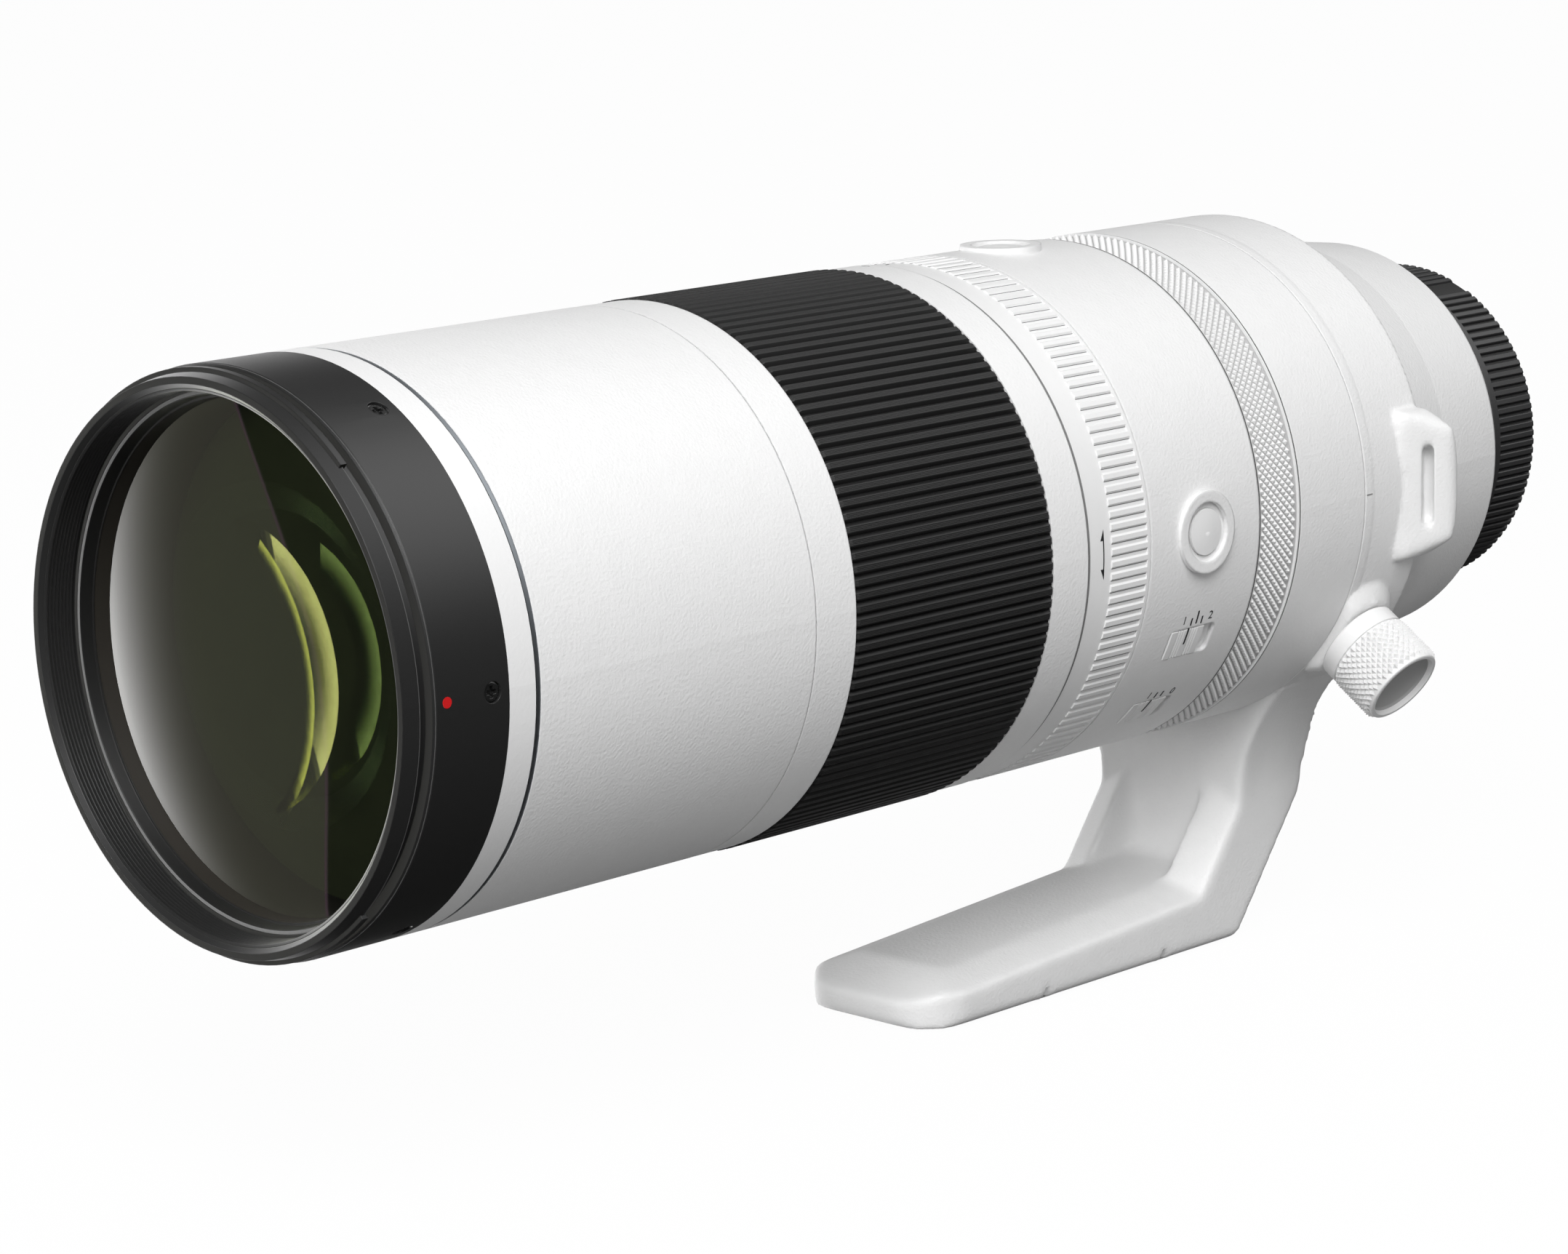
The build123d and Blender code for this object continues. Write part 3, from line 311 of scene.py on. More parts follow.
class Finish:
    """Makes one material from nodes."""

    def __init__(self, name, data=None):
        self.material = data or bpy.data.materials.new(name)
        self.material.use_nodes = True
        self.tree = self.material.node_tree
        self.tree.nodes.clear()
        self.coordinates = None

    def node(self, kind, settings, values, output=0):
        """A node with its settings, then the values or links of its sockets."""
        node = self.tree.nodes.new(kind)
        for name, value in settings.items():
            setattr(node, name, value)
        for name, value in values.items():
            if isinstance(value, Channel):
                self.tree.links.new(value.socket, node.inputs[name])
            else:
                node.inputs[name].default_value = value
        return Channel(self.tree, node.outputs[output]) if len(node.outputs) else None

    def place(self):
        """Object coordinates, in metres."""
        if self.coordinates is None:
            self.coordinates = self.node("ShaderNodeTexCoord", {}, {}, "Object")
        return self.coordinates

    def parts(self):
        """x, y and z in millimetres."""
        split = self.node("ShaderNodeSeparateXYZ", {}, {"Vector": self.place()}).socket.node
        return [Channel(self.tree, output) * (1 / MM) for output in split.outputs]

    def radius(self):
        """Distance from the lens axis in millimetres."""
        x, _, z = self.parts()
        return (x * x + z * z).root()

    def noise(self, size, detail=2.0, roughness=0.5):
        """Noise whose grains are about that many millimetres across."""
        values = {"Vector": self.place(), "Scale": 1 / (size * MM), "Detail": detail, "Roughness": roughness}
        return self.node("ShaderNodeTexNoise", {}, values, "Fac")

    def mix(self, share, first, second):
        """A colour between two others."""
        node = self.tree.nodes.new("ShaderNodeMix")
        node.data_type = "RGBA"
        for place, value in ((0, share), (6, first), (7, second)):
            if isinstance(value, Channel):
                self.tree.links.new(value.socket, node.inputs[place])
            else:
                node.inputs[place].default_value = value
        return Channel(self.tree, node.outputs[2])

    def step(self, value, low, high):
        """0 below low, 1 above high, smooth between."""
        settings = {"interpolation_type": "SMOOTHSTEP"}
        values = {"Value": value, "From Min": low, "From Max": high}
        return self.node("ShaderNodeMapRange", settings, values)

    def bump(self, height, depth, strength=1.0, rounding=None):
        """A normal from a height between 0 and 1, that deep in millimetres."""
        values = {"Height": height, "Distance": depth * MM, "Strength": strength}
        if rounding:
            values["Normal"] = self.node("ShaderNodeBevel", {"samples": 6}, {"Radius": rounding * MM})
        return self.node("ShaderNodeBump", {}, values)

    def surface(self, **values):
        """The principled surface of the material, whose socket names have _ for a space."""
        values = {name.replace("_", " "): value for name, value in values.items()}
        shader = self.node("ShaderNodeBsdfPrincipled", {}, values)
        self.node("ShaderNodeOutputMaterial", {}, {"Surface": shader})
        return self.material


def grey(level, tint=(1.0, 1.0, 1.0)):
    """A colour of that level in all its parts, times its tint."""
    return tuple(level * share for share in tint) + (1.0,)


def paint(name, level, rounding=0.35, depth=0.09, shade=()):
    """White paint with a fine crinkle. shade lists (first, last, radius): what lies deeper than that radius
    between those stations gets painted shade, near black.
    """
    finish = Finish(name)
    crinkle = finish.noise(0.62, 2.0, 0.5)
    patches = finish.noise(4.0, 2.0)
    colour = finish.mix(finish.step(patches, 0.3, 0.7), grey(level * 0.985), grey(level))
    colour = finish.mix(finish.step(crinkle, 0.60, 0.78) * 0.06, colour, grey(level * 0.5))
    if shade:
        x, y, z = finish.parts()
        radius = (x * x + z * z).root()
        # Painted shade: faces deep in gaps and under other parts are coloured near black.
        for first, last, floor in shade:
            colour = finish.mix((y > first) * (y < last) * (radius < floor), colour, grey(0.03))
    return finish.surface(Base_Color=colour, Roughness=finish.noise(1.2) * 0.1 + 0.42,
                          Normal=finish.bump(crinkle, depth, 1.0, rounding))


def edged_paint(name, level, low, high, share=0.6):
    """Smooth white paint of a knurled part, greyer in its valleys as painted shade."""
    finish = Finish(name)
    # Painted shade: the colour is greyer below the high radius, in the valleys.
    colour = finish.mix(finish.step(finish.radius(), low, high), grey(level * share), grey(level))
    return finish.surface(Base_Color=colour, Roughness=finish.noise(0.6) * 0.1 + 0.4)


def dark(name, level, roughness, grain=0.25, depth=0.008, tint=(1.0, 1.0, 1.0), rounding=0.25, gloss=0.5):
    """Dark metal, rubber or plastic with a fine grain."""
    finish = Finish(name)
    grains = finish.noise(grain, 3.0, 0.6)
    colour = finish.mix(grains, grey(level * 0.8, tint), grey(level * 1.25, tint))
    return finish.surface(Base_Color=colour, Roughness=grains * 0.12 + (roughness - 0.06),
                          Specular_IOR_Level=gloss, Normal=finish.bump(grains, depth, 1.0, rounding))


def matt(name, level, tint=(1.0, 1.0, 1.0)):
    """An even dark surface without gloss."""
    finish = Finish(name)
    clouds = finish.noise(12.0)
    colour = finish.mix(clouds, grey(level * 0.9, tint), grey(level * 1.1, tint))
    return finish.surface(Base_Color=colour, Roughness=0.9, Specular_IOR_Level=0.0)


def metal(name, level, roughness, tint=(1.0, 1.0, 1.0), grain=0.3):
    """Bare or plated metal."""
    finish = Finish(name)
    grains = finish.noise(grain, 3.0, 0.6)
    colour = finish.mix(grains, grey(level * 0.92, tint), grey(level, tint))
    return finish.surface(Base_Color=colour, Metallic=1.0, Roughness=grains * 0.1 + (roughness - 0.05),
                          Normal=finish.bump(grains, 0.004))


def inner_tube():
    """The front tube: white outside, blackened inside its bore and at its front."""
    finish = Finish("white_and_black_tube")
    crinkle = finish.noise(0.75, 2.0, 0.55)
    colour = finish.mix(finish.radius() < 47.4, grey(white_level), grey(0.012))
    return finish.surface(Base_Color=colour, Roughness=crinkle * 0.1 + 0.42,
                          Normal=finish.bump(crinkle, 0.05))


def coated_glass(name, film, sheen, index, centre=None, fade=None, share=1.0, roughness=0.02):
    """Glass with a coating: it lets light through as film says and throws it back as sheen says.

    With a centre and a fade it shines only between those two distances from the centre, up to that share.
    """
    finish = Finish(name)
    through = finish.node("ShaderNodeBsdfTransparent", {}, {"Color": film + (1.0,)})
    shine = finish.node("ShaderNodeBsdfGlossy", {}, {"Color": sheen + (1.0,), "Roughness": roughness})
    amount = finish.node("ShaderNodeFresnel", {}, {"IOR": index})
    if centre:
        x, _, z = finish.parts()
        across = x - centre[0]
        up = z - centre[1]
        amount = finish.step((across * across + up * up).root(), *fade) ** 3.0 * share
    mixed = finish.node("ShaderNodeMixShader", {}, {0: amount, 1: through, 2: shine})
    finish.node("ShaderNodeOutputMaterial", {}, {"Surface": mixed})
    return finish.material


def plain(name, colour, roughness=0.5):
    """Ink or a small even patch of paint."""
    finish = Finish(name)
    grains = finish.noise(0.2)
    shade = finish.mix(grains, tuple(part * 0.9 for part in colour) + (1.0,), colour + (1.0,))
    return finish.surface(Base_Color=shade, Roughness=roughness)


white_level = 0.82
no_tint = (1.0, 1.0, 1.0)
outer_paint = paint("white_barrel_paint", white_level, shade=((-221.6, -140.0, 50.7),))
zoom_paint = paint("white_zoom_paint", white_level, shade=((-230.0, -140.0, 50.6),))
main_paint = paint("white_switch_paint", white_level, 0.7,
                   shade=((-160.0, -130.9, 50.6), (-98.45, -80.0, 50.6)))
rear_paint = paint("white_rear_paint", white_level, shade=((-90.0, -44.9, 50.5),))
foot_paint = paint("white_foot_paint", white_level)
smooth_white = paint("smooth_white_paint", white_level, 0.15, 0.01)
slider_white = paint("slider_white_plastic", white_level, 0.15, 0.004)
bar_white = paint("ribbed_white_paint", white_level, 0.12, 0.01)
# Near-black colour painted as the shadow in seams and gaps and at the foot of bars.
painted_seam_shadow = plain("shadowed_seam", (0.10, 0.10, 0.10), 0.6)
knurl_white = edged_paint("knurled_white_paint", white_level, 50.45, 50.75)
knob_white = paint("knob_white_paint", white_level, None, 0.004)
# Half as bright as the white paint: painted shade in the knob's deep dish.
knob_dish_shade = paint("knob_dish_painted_shade", white_level * 0.50, None, 0.004)
black_metal = dark("satin_black_metal", 0.016, 0.40)
# Mid grey painted as the shade inside a groove and inside the foot's notches.
painted_gap_shade = plain("shadowed_gap", (0.22, 0.22, 0.22), 0.6)
# A lighter black painted on thin rings at step edges as their highlight.
edge_highlight = dark("painted_edge_highlight", 0.075, 0.45)
inner_black = dark("matt_black_metal", 0.008, 0.5)
brown_black = dark("brown_black_wall", 0.020, 0.6, 0.4, 0.004, (1.0, 0.85, 0.65))
grip_rubber = dark("ribbed_grip_rubber", 0.013, 0.55, 0.25, 0.01, no_tint, 0.1, 0.4)
# The same rubber made darker for the valleys between ribs: painted shade.
grip_valley_shade = dark("grip_rubber_valley_shade", 0.004, 0.7)
cap_plastic = dark("charcoal_cap_plastic", 0.030, 0.5, 0.3, 0.008, (1.0, 1.0, 1.02), 0.1)
# The cap plastic made darker for the valleys between ridges and for the inside: painted shade.
cap_valley_shade = dark("cap_plastic_valley_shade", 0.006, 0.6)
# A grey painted on the retainer's ledge as its highlight.
ledge_highlight = dark("painted_ledge_highlight", 0.20, 0.4)
ring_metal = metal("thin_grey_ring", 0.30, 0.45, (0.92, 0.98, 1.05))
steel = metal("plain_steel", 0.6, 0.28)
bright_metal = metal("bright_mount_metal", 0.75, 0.25)
anodised = metal("dark_anodised_metal", 0.08, 0.4)
gold = metal("gold_contacts", 0.8, 0.2, (1.0, 0.78, 0.34))
board = plain("green_board", (0.02, 0.13, 0.05), 0.4)
ink = plain("dark_grey_ink", (0.020, 0.020, 0.022))
# Grey for the collar's small index groove: its painted shade.
index_groove_shade = plain("index_groove_painted_shade", (0.30, 0.30, 0.30))
red_ink = plain("red_index_paint", (0.62, 0.004, 0.006), 0.45)
screw_black = dark("black_screw", 0.012, 0.28)
clear_film = coated_glass("clear_glass", no_tint, no_tint, 1.001)
front_film = coated_glass("coated_front_glass", (0.90, 0.93, 0.75), (1.0, 0.99, 0.97), 1.75)
plain_film = coated_glass("plain_inner_glass", (0.7, 0.75, 0.7), (0.6, 0.8, 0.7), 1.5)
# Opaque dark olive on the inner glass: the coating's tint, plus painted shade standing in for the dark
# inside of the lens seen through it.
shaded_inner_glass = matt("inner_glass_with_painted_shade", 0.024, (0.9, 1.1, 0.65))
tube_paint = inner_tube()

# What each node's solid is painted with
node_finish = {
    "outer_barrel": outer_paint, "zoom_ring": zoom_paint, "main_barrel": main_paint,
    "rear_barrel": rear_paint, "tripod_collar": foot_paint, "side_button": smooth_white,
    "top_button": smooth_white,
    "front_tube": tube_paint, "front_ring": black_metal, "front_retainer": inner_black,
    "front_cell": brown_black, "mouth_ring": ring_metal,
    "second_element": shaded_inner_glass, "variator_element": shaded_inner_glass, "stabiliser_element": plain_film,
    "focus_element": plain_film, "rear_element": plain_film, "variator_cell": inner_black,
    "stabiliser_unit": inner_black, "focus_cell": inner_black, "rear_bulkhead": inner_black,
    "mount_base": inner_black, "rear_cell": inner_black, "cam_barrel": anodised,
    "guide_tube": anodised, "mount_gasket": grip_rubber, "bayonet_mount": bright_metal,
    "mount_screws": steel, "cam_followers": steel, "variator_followers": steel,
    "focus_rails": steel, "zoom_key": steel, "foot_bush": steel, "contact_block": cap_plastic,
    "contact_pins": gold, "main_board": board,
}
for name, finish in node_finish.items():
    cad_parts[name].material_slots[0].material = finish


# Rubber grip: a sleeve with 136 ribs

rib_count = 136
grip_front = -211.1
grip_rear = -158.65
grip_radius = 51.4
grip_root = 50.45
grip_bore = 50.05
rib_pitch = 2 * math.pi * grip_radius / rib_count

# The sleeve between the ribs carries the darker rubber, which is painted shade in the valleys.
sleeve = ring("grip_sleeve", [(grip_front, grip_bore), (grip_rear, grip_bore), (grip_rear, grip_root),
                              (grip_front, grip_root)], grip_valley_shade)
half = rib_pitch / 2


def grip_outline(drop):
    """One rib across the turn: steep sides, sloping shoulders and a top with fine lines."""
    top = grip_radius - drop
    low = grip_root - 0.05
    fine = 0.05
    shoulder = [(0.90, low), (0.70, top - 0.35), (0.52, top - 0.06), (0.42, top)]
    points = [(-half * share, radius) for share, radius in shoulder]
    for place in (-0.22, 0.0, 0.22):
        points += [(half * (place - 0.05), top), (half * place, top - fine), (half * (place + 0.05), top)]
    return points + [(half * share, radius) for share, radius in reversed(shoulder)]


one_rib = rib("grip_rib", [
    (grip_front, grip_outline(0.45)), (grip_front + 0.7, grip_outline(0.0)),
    (grip_rear - 0.7, grip_outline(0.0)), (grip_rear, grip_outline(0.45))], grip_rubber)
grip = joined("ribbed_zoom_grip", [sleeve, copied(one_rib, rib_count, grip_rubber)])
placed(grip, "zoom", "zoom_grip")


# Tension ring: a plain strip, 136 flat bars and a lip, with a painted shadow line at the foot of each bar
# and painted shade in the groove at its front

strip_front = -148.4
bars_front = -142.1
bars_rear = -131.9
lip_rear = -131.1
strip_bore = 49.2
strip_radius = 50.82
bar_top = 0.93
bar_foot = 1.59
strip = ring("tension_strip", [
    (strip_front, strip_bore), (lip_rear, strip_bore), (lip_rear, barrel_radius - 0.1),
    (lip_rear - 0.1, barrel_radius), (bars_rear, barrel_radius), (bars_rear, strip_radius),
    (strip_front + 0.15, strip_radius), (strip_front, strip_radius - 0.15)], bar_white)
bar_outline = [
    (-bar_foot / 2, strip_radius - 0.1), (-bar_foot / 2, strip_radius), (-bar_top / 2, barrel_radius),
    (bar_top / 2, barrel_radius), (bar_foot / 2, strip_radius), (bar_foot / 2, strip_radius - 0.1)]
one_bar = rib("tension_bar", [(bars_front, bar_outline), (bars_rear, bar_outline)], bar_white)
# A thin dark strip at the foot of each bar's lower side: a painted shadow line.
bar_shadow_left = -bar_foot / 2 - 0.10
bar_shadow_right = -bar_foot / 2 + 0.02
line = [(bar_shadow_left, strip_radius - 0.1), (bar_shadow_left, strip_radius + 0.03),
        (bar_shadow_right, strip_radius + 0.03), (bar_shadow_right, strip_radius - 0.1)]
one_bar_shadow = rib("tension_bar_shadow", [(bars_front + 0.1, line), (bars_rear, line)], painted_seam_shadow)
# A grey ring in the groove at the front of the strip: painted shade.
gap_front = -148.65
gap_rear = -148.1
gap = ring("tension_gap_shade", [
    (gap_front, strip_bore), (gap_front, strip_radius + 0.1), (gap_front + 0.2, strip_radius + 0.1),
    (gap_rear, strip_radius + 0.02), (gap_rear, strip_bore)], painted_gap_shade)
tension = joined("ribbed_tension_ring", [strip, gap, copied(one_bar, rib_count, bar_white),
                                         copied(one_bar_shadow, rib_count, painted_seam_shadow)])
placed(tension, "tension", "tension_ring")


# Control ring: crossed grooves that leave small pyramids

def pyramids(name, around, along, height, radius, front, rear, finish, sink=0.03):
    """One column of a diamond knurl at angle 0: full pyramids, and those half a step on between them."""
    mesh = bmesh.new()
    rows = int(round((rear - front) / along * 2))
    for row in range(1, rows):
        y = front + along * row / 2
        z = 0.0 if row % 2 else around / 2
        base = [mesh.verts.new((radius - sink, y + dy, z + dz)) for dy, dz in
                ((-along / 2, 0), (0, -around / 2), (along / 2, 0), (0, around / 2))]
        tip = mesh.verts.new((radius + height, y, z))
        mesh.faces.new(base)
        for corner in range(len(base)):
            mesh.faces.new((base[corner], base[(corner + 1) % len(base)], tip))
    return finished(name, mesh, finish)


control_front = -98.2
control_rear = -85.9
control_bore = 49.2
knurl_root = 50.45
knurl_height = barrel_radius - knurl_root
knurl_front = control_front + 0.35
knurl_rear = control_rear - 0.45
control_count = 186
control_pitch = 1.87
control_gaps = ((-98.43, -98.1), (-85.95, -85.7))
control_band = ring("control_band", [
    (control_front, control_bore), (control_rear, control_bore), (control_rear, barrel_radius - 0.15),
    (control_rear - 0.15, barrel_radius), (knurl_rear, barrel_radius), (knurl_rear, knurl_root),
    (knurl_front, knurl_root), (knurl_front, barrel_radius - 0.1),
    (control_front + 0.15, barrel_radius - 0.1), (control_front, barrel_radius - 0.2)], knurl_white)
knurl = pyramids("control_pyramid", 2 * math.pi * knurl_root / control_count, control_pitch, knurl_height,
                 knurl_root, knurl_front, knurl_rear, knurl_white)
# Near-black rings inside the gaps at both ends of the ring: painted shade.
gaps = [ring("control_gap", [
    (front, control_bore), (front, barrel_radius - 0.04), (rear, barrel_radius - 0.04),
    (rear, control_bore)], painted_seam_shadow) for front, rear in control_gaps]
control = joined("knurled_control_ring", [control_band, *gaps, copied(knurl, control_count, knurl_white)])
placed(control, "control", "control_ring")


# Front glass: its coated front face, and the rings and crescents that its inner faces show

def cap_outline(radius, pole, curve, steps=24):
    """(y, radius) corners of a round glass face from its edge to its pole."""
    corners = []
    for step in range(steps + 1):
        rho = radius * (1 - step / steps)
        corners.append((pole + curve - math.sqrt(curve * curve - rho * rho), max(rho, 0.001)))
    return corners


def faced(piece, other, test):
    """Gives the other finish to the faces that pass the test."""
    piece.data.materials.append(other)
    for face in piece.data.polygons:
        if test(face.normal, face.center / MM):
            face.material_index = 1
    return piece


def crescent(name, outline, centre, start, turn, sheen, fade, share, steps=96):
    """A thin coated shell, as part of a ring about a line beside the lens axis."""
    film = coated_glass(name + "_film", no_tint, sheen, inner_index, centre, fade, share)
    mesh = bmesh.new()
    turned(mesh, outline, steps, start, turn)
    bmesh.ops.translate(mesh, verts=mesh.verts, vec=(centre[0], 0, centre[1]))
    return finished(name, mesh, film, glass_smooth)


glass_radius = 45.5
glass_steps = 192
glass_smooth = 60.0
front_pole = -305.46
front_curve = 220.0
front_edge = -300.7
back_pole = -294.1
back_edge = -296.5
inner_index = 1.5
lens = ring("glass_body", cap_outline(glass_radius, front_pole, front_curve)
            + [(back_pole, 0.001), (back_edge, glass_radius)], clear_film, glass_steps, glass_smooth)
lens = faced(lens, front_film, lambda normal, centre: normal.y < -0.9 and centre.y < front_edge)
band_film = coated_glass("grey_green_reflection", no_tint, (0.28, 0.40, 0.19), inner_index,
                         (0.0, 0.0), (0.0, 1.0), 0.014, 0.25)
band = ring("inner_band", [(-300.0, 30.2), (-297.1, 24.9), (-297.0, 24.9), (-299.9, 30.2)], band_film,
            glass_steps, glass_smooth)
near = crescent("near_crescent", [(-303.0, 25.75), (-300.3, 13.0), (-300.2, 13.0), (-302.9, 25.75)],
                (-5.8, -1.8), -75.0, 165.0, (0.94, 0.96, 0.38), (12.0, 25.8), 0.085)
far = crescent("far_crescent", [(-302.6, 32.05), (-301.95, 29.0), (-301.85, 29.0), (-302.5, 32.05)],
               (-19.1, -4.6), -48.0, 100.0, (0.92, 0.98, 0.20), (28.0, 32.1), 0.07)
edge = crescent("side_crescent", [(-302.4, 21.5), (-300.6, 13.0), (-300.5, 13.0), (-302.3, 21.5)],
               (9.0, 1.5), -70.0, 140.0, (0.56, 0.80, 0.26), (13.0, 21.6), 0.03)
glass = joined("coated_front_glass", [lens, band, near, far, edge])
# The deep rim would hide the studio's white side from the glass, so it isn't mirrored there.
for name in ("front_ring", "front_cell", "front_tube"):
    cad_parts[name].visible_glossy = False
placed(glass, "front", "front_element")

retainer_front = -306.8
retainer_step = -304.4
retainer_rear = -301.05
retainer_radius = 46.5
retainer_steps = 256
retainer_smooth = 20.0
black_wall = ring("retainer_wall", [
    (retainer_front, retainer_radius), (retainer_front, 45.85), (retainer_front + 0.1, 45.75),
    (retainer_step - 0.05, 45.4), (retainer_step, 45.0), (retainer_step + 0.1, 45.0),
    (retainer_step + 0.1, retainer_radius)], inner_black, retainer_steps, retainer_smooth)
# The ledge's grey is a painted highlight on its lit edge.
ledge = ring("retainer_ledge", [
    (retainer_front - 0.03, retainer_radius), (retainer_front - 0.03, 45.95), (retainer_front + 0.08, 45.80),
    (retainer_front + 0.08, retainer_radius)], ledge_highlight, retainer_steps, retainer_smooth)
brown_wall = ring("retainer_foot", [
    (retainer_step + 0.1, retainer_radius), (retainer_step + 0.1, 45.1), (retainer_rear, 44.85),
    (retainer_rear, retainer_radius)], brown_black, retainer_steps, retainer_smooth)
retainer = joined("bright_edged_retainer", [black_wall, ledge, brown_wall])
retainer.visible_glossy = False
placed(retainer, "front", "front_retainer")


# Tripod collar: the plain shape with its edges blended, and a crisp front edge on the barrel

def between(value, low, high):
    """0 below low, 1 above high, smooth between."""
    share = min(max((value - low) / (high - low), 0.0), 1.0)
    return share * share * (3 - 2 * share)


def blended(piece, group_name, weights, repeats):
    """Smooths the vertices of a piece by those weights."""
    group = piece.vertex_groups.new(name=group_name)
    for index, weight in enumerate(weights):
        if weight > 0.01:
            group.add([index], weight, "REPLACE")
    modifier = piece.modifiers.new(group_name, "SMOOTH")
    modifier.factor = 0.5
    modifier.iterations = repeats
    modifier.vertex_group = group_name
    applied(piece)


notch_stations = (-125.8, -89.7)
notch_radius = 1.2
notch_height = -94.3
seat_front = -64.9
seat_rear = -45.0
seat_bore = 49.4
seat_end = -62.0
skin_bore = 49.3
foot_level = -95.99
knob_angle = -35.3
knob_station = -58.5
boss_radius = 56.0
slot_station = -48.5
slot_half_length = 9.0
voxel_size = 0.75
foot_rounds = 16
edge_rounds = 20


def collar_weights(vertices):
    """How much the foot, and the lugs and the knob's boss, are blended."""
    foot = []
    rest = []
    boss = on_axis(knob_angle, boss_radius, knob_station)
    for vertex in vertices:
        x, y, z = vertex.co / MM
        radius = math.hypot(x, z)
        low = 1 - between(z, -60.0, -50.0)
        near_notch = min(abs(y - station) for station in notch_stations)
        if z < -91.0 and x > 10.0:
            low *= 0.15 + 0.85 * between(near_notch, notch_radius, 3.0)
        foot.append(low)
        out = between(radius, 51.3, 52.0) * between(z, -52.0, -48.0)
        near_boss = (Vector((x, y, z)) - boss).length
        near_slot = math.hypot(max(abs(z) - slot_half_length, 0.0), y - slot_station)
        crisp = (0.5 + 0.5 * between(near_boss, 8.0, 16.0)) * (0.06 + 0.94 * between(near_slot, 1.6, 3.4))
        rest.append(out * crisp)
    return foot, rest


def soft_collar():
    """The collar's own mesh in even small faces, blended and then set back on the barrel's radius."""
    mesh = bmesh.new()
    mesh.from_mesh(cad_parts["tripod_collar"].data)
    bmesh.ops.remove_doubles(mesh, verts=mesh.verts, dist=0.01 * MM)
    piece = finished("soft_collar", mesh, foot_paint)
    piece.data.transform(Matrix.Scale(1 / MM, 4))
    modifier = piece.modifiers.new("even", "REMESH")
    modifier.mode = "VOXEL"
    modifier.voxel_size = voxel_size * MM
    applied(piece)
    foot, rest = collar_weights(piece.data.vertices)
    blended(piece, "foot", foot, foot_rounds)
    blended(piece, "rest", rest, edge_rounds)
    for vertex in piece.data.vertices:
        x, y, z = vertex.co / MM
        radius = math.hypot(x, z)
        if 50.3 < radius < 51.45 and seat_front - 0.6 < y < seat_rear + 0.6:
            under_seat = 1 - between(y, -64.4, -63.6)
            level = barrel_radius - 0.3 * under_seat - 0.4 * between(y, -45.5, seat_rear)
            vertex.co = Vector((x * level / radius, y, z * level / radius)) * MM
        elif radius < 50.3:
            vertex.co = Vector((x * skin_bore / radius, y, z * skin_bore / radius)) * MM
        vertex.co.z = max(vertex.co.z, foot_level * MM)
    piece.data.shade_smooth()
    piece.data.materials.clear()
    piece.data.materials.append(foot_paint)
    return piece


def notch(name, y, piece):
    """A small round notch at the lower edge of the foot, as a dished disc on that face whose grey is painted
    shade.
    """
    beside = Vector((40.0, y, notch_height)) * MM
    _, place, normal, _ = piece.ray_cast(beside, Vector((-1.0, 0.0, 0.0)))
    mesh = bmesh.new()
    turned(mesh, [(-0.02, 0.001), (-0.02, 0.75), (0.03, notch_radius - 0.1), (0.03, notch_radius),
                  (-0.4, notch_radius), (-0.4, 0.001)], 24)
    disc = finished(name, mesh, painted_gap_shade, 20.0)
    disc.data.transform(Matrix.Translation(place) @ normal.to_track_quat("Y", "Z").to_matrix().to_4x4())
    return disc


seat = ring("collar_seat", [
    (seat_front, seat_bore), (seat_front, barrel_radius - 0.12), (seat_front + 0.12, barrel_radius),
    (seat_end - 0.4, barrel_radius + 0.005), (seat_end, barrel_radius - 0.2), (seat_end, seat_bore)],
    foot_paint)
skin = soft_collar()
notches = [notch("foot_notch", y, skin) for y in notch_stations]
collar = joined("soft_tripod_collar", [skin, seat, *notches])
placed(collar, "collar", "tripod_collar")


# Sliders of the two switches: curved tops with two groups of ridges and an index line

slider_front = -120.9
slider_rear = -110.9
slider_top = barrel_radius + 0.15
slider_foot = barrel_radius - 1.05
slider_half_turn = 3.45
slider_gap = 0.05
ridge_pitch = 0.73


def block(name, corners, angle, half_turn, finish):
    """A block from its section along the lens, turned through twice the half turn about that angle."""
    mesh = bmesh.new()
    turned(mesh, corners, 12, angle - half_turn, 2 * half_turn)
    return finished(name, mesh, finish, 20.0)


def slider(name, angle):
    """A slider with its index line, and a dark skirt of painted shade that shows as the gap round it."""
    front = slider_front + slider_gap
    rear = slider_rear - slider_gap
    corners = [(front, slider_foot), (front, slider_top - 0.25), (front + 0.25, slider_top)]
    for first in (slider_front + 2.0, slider_front + 5.9):
        for step in range(3):
            place = first + ridge_pitch * step
            corners += [(place, slider_top), (place + 0.10, slider_top - 0.42),
                        (place + 0.60, slider_top - 0.02)]
    corners += [(rear - 0.25, slider_top), (rear, slider_top - 0.25), (rear, slider_foot)]
    top = block(name, corners, angle, slider_half_turn, slider_white)
    front = slider_front - 0.06
    rear = slider_rear + 0.06
    skirt_top = slider_top - 0.40
    corners = [(front, slider_foot), (front, skirt_top), (rear, skirt_top), (rear, slider_foot)]
    skirt = block(name + "_skirt", corners, angle, slider_half_turn + 0.09, painted_seam_shadow)
    middle = (slider_front + slider_rear) / 2
    index = wrapped(name + "_index", [bar(0.0, 0.0, 0.0, 3.6, 0.42)], angle - 0.2, middle, slider_top, ink)
    return joined(name, [top, skirt, index])


for node, angle in (("focus_switch", -25.6), ("stabiliser_switch", -46.0)):
    placed(slider("ridged_" + node, angle), node + "_body", node)


# Lock knob, made along the lens axis and then laid along its own

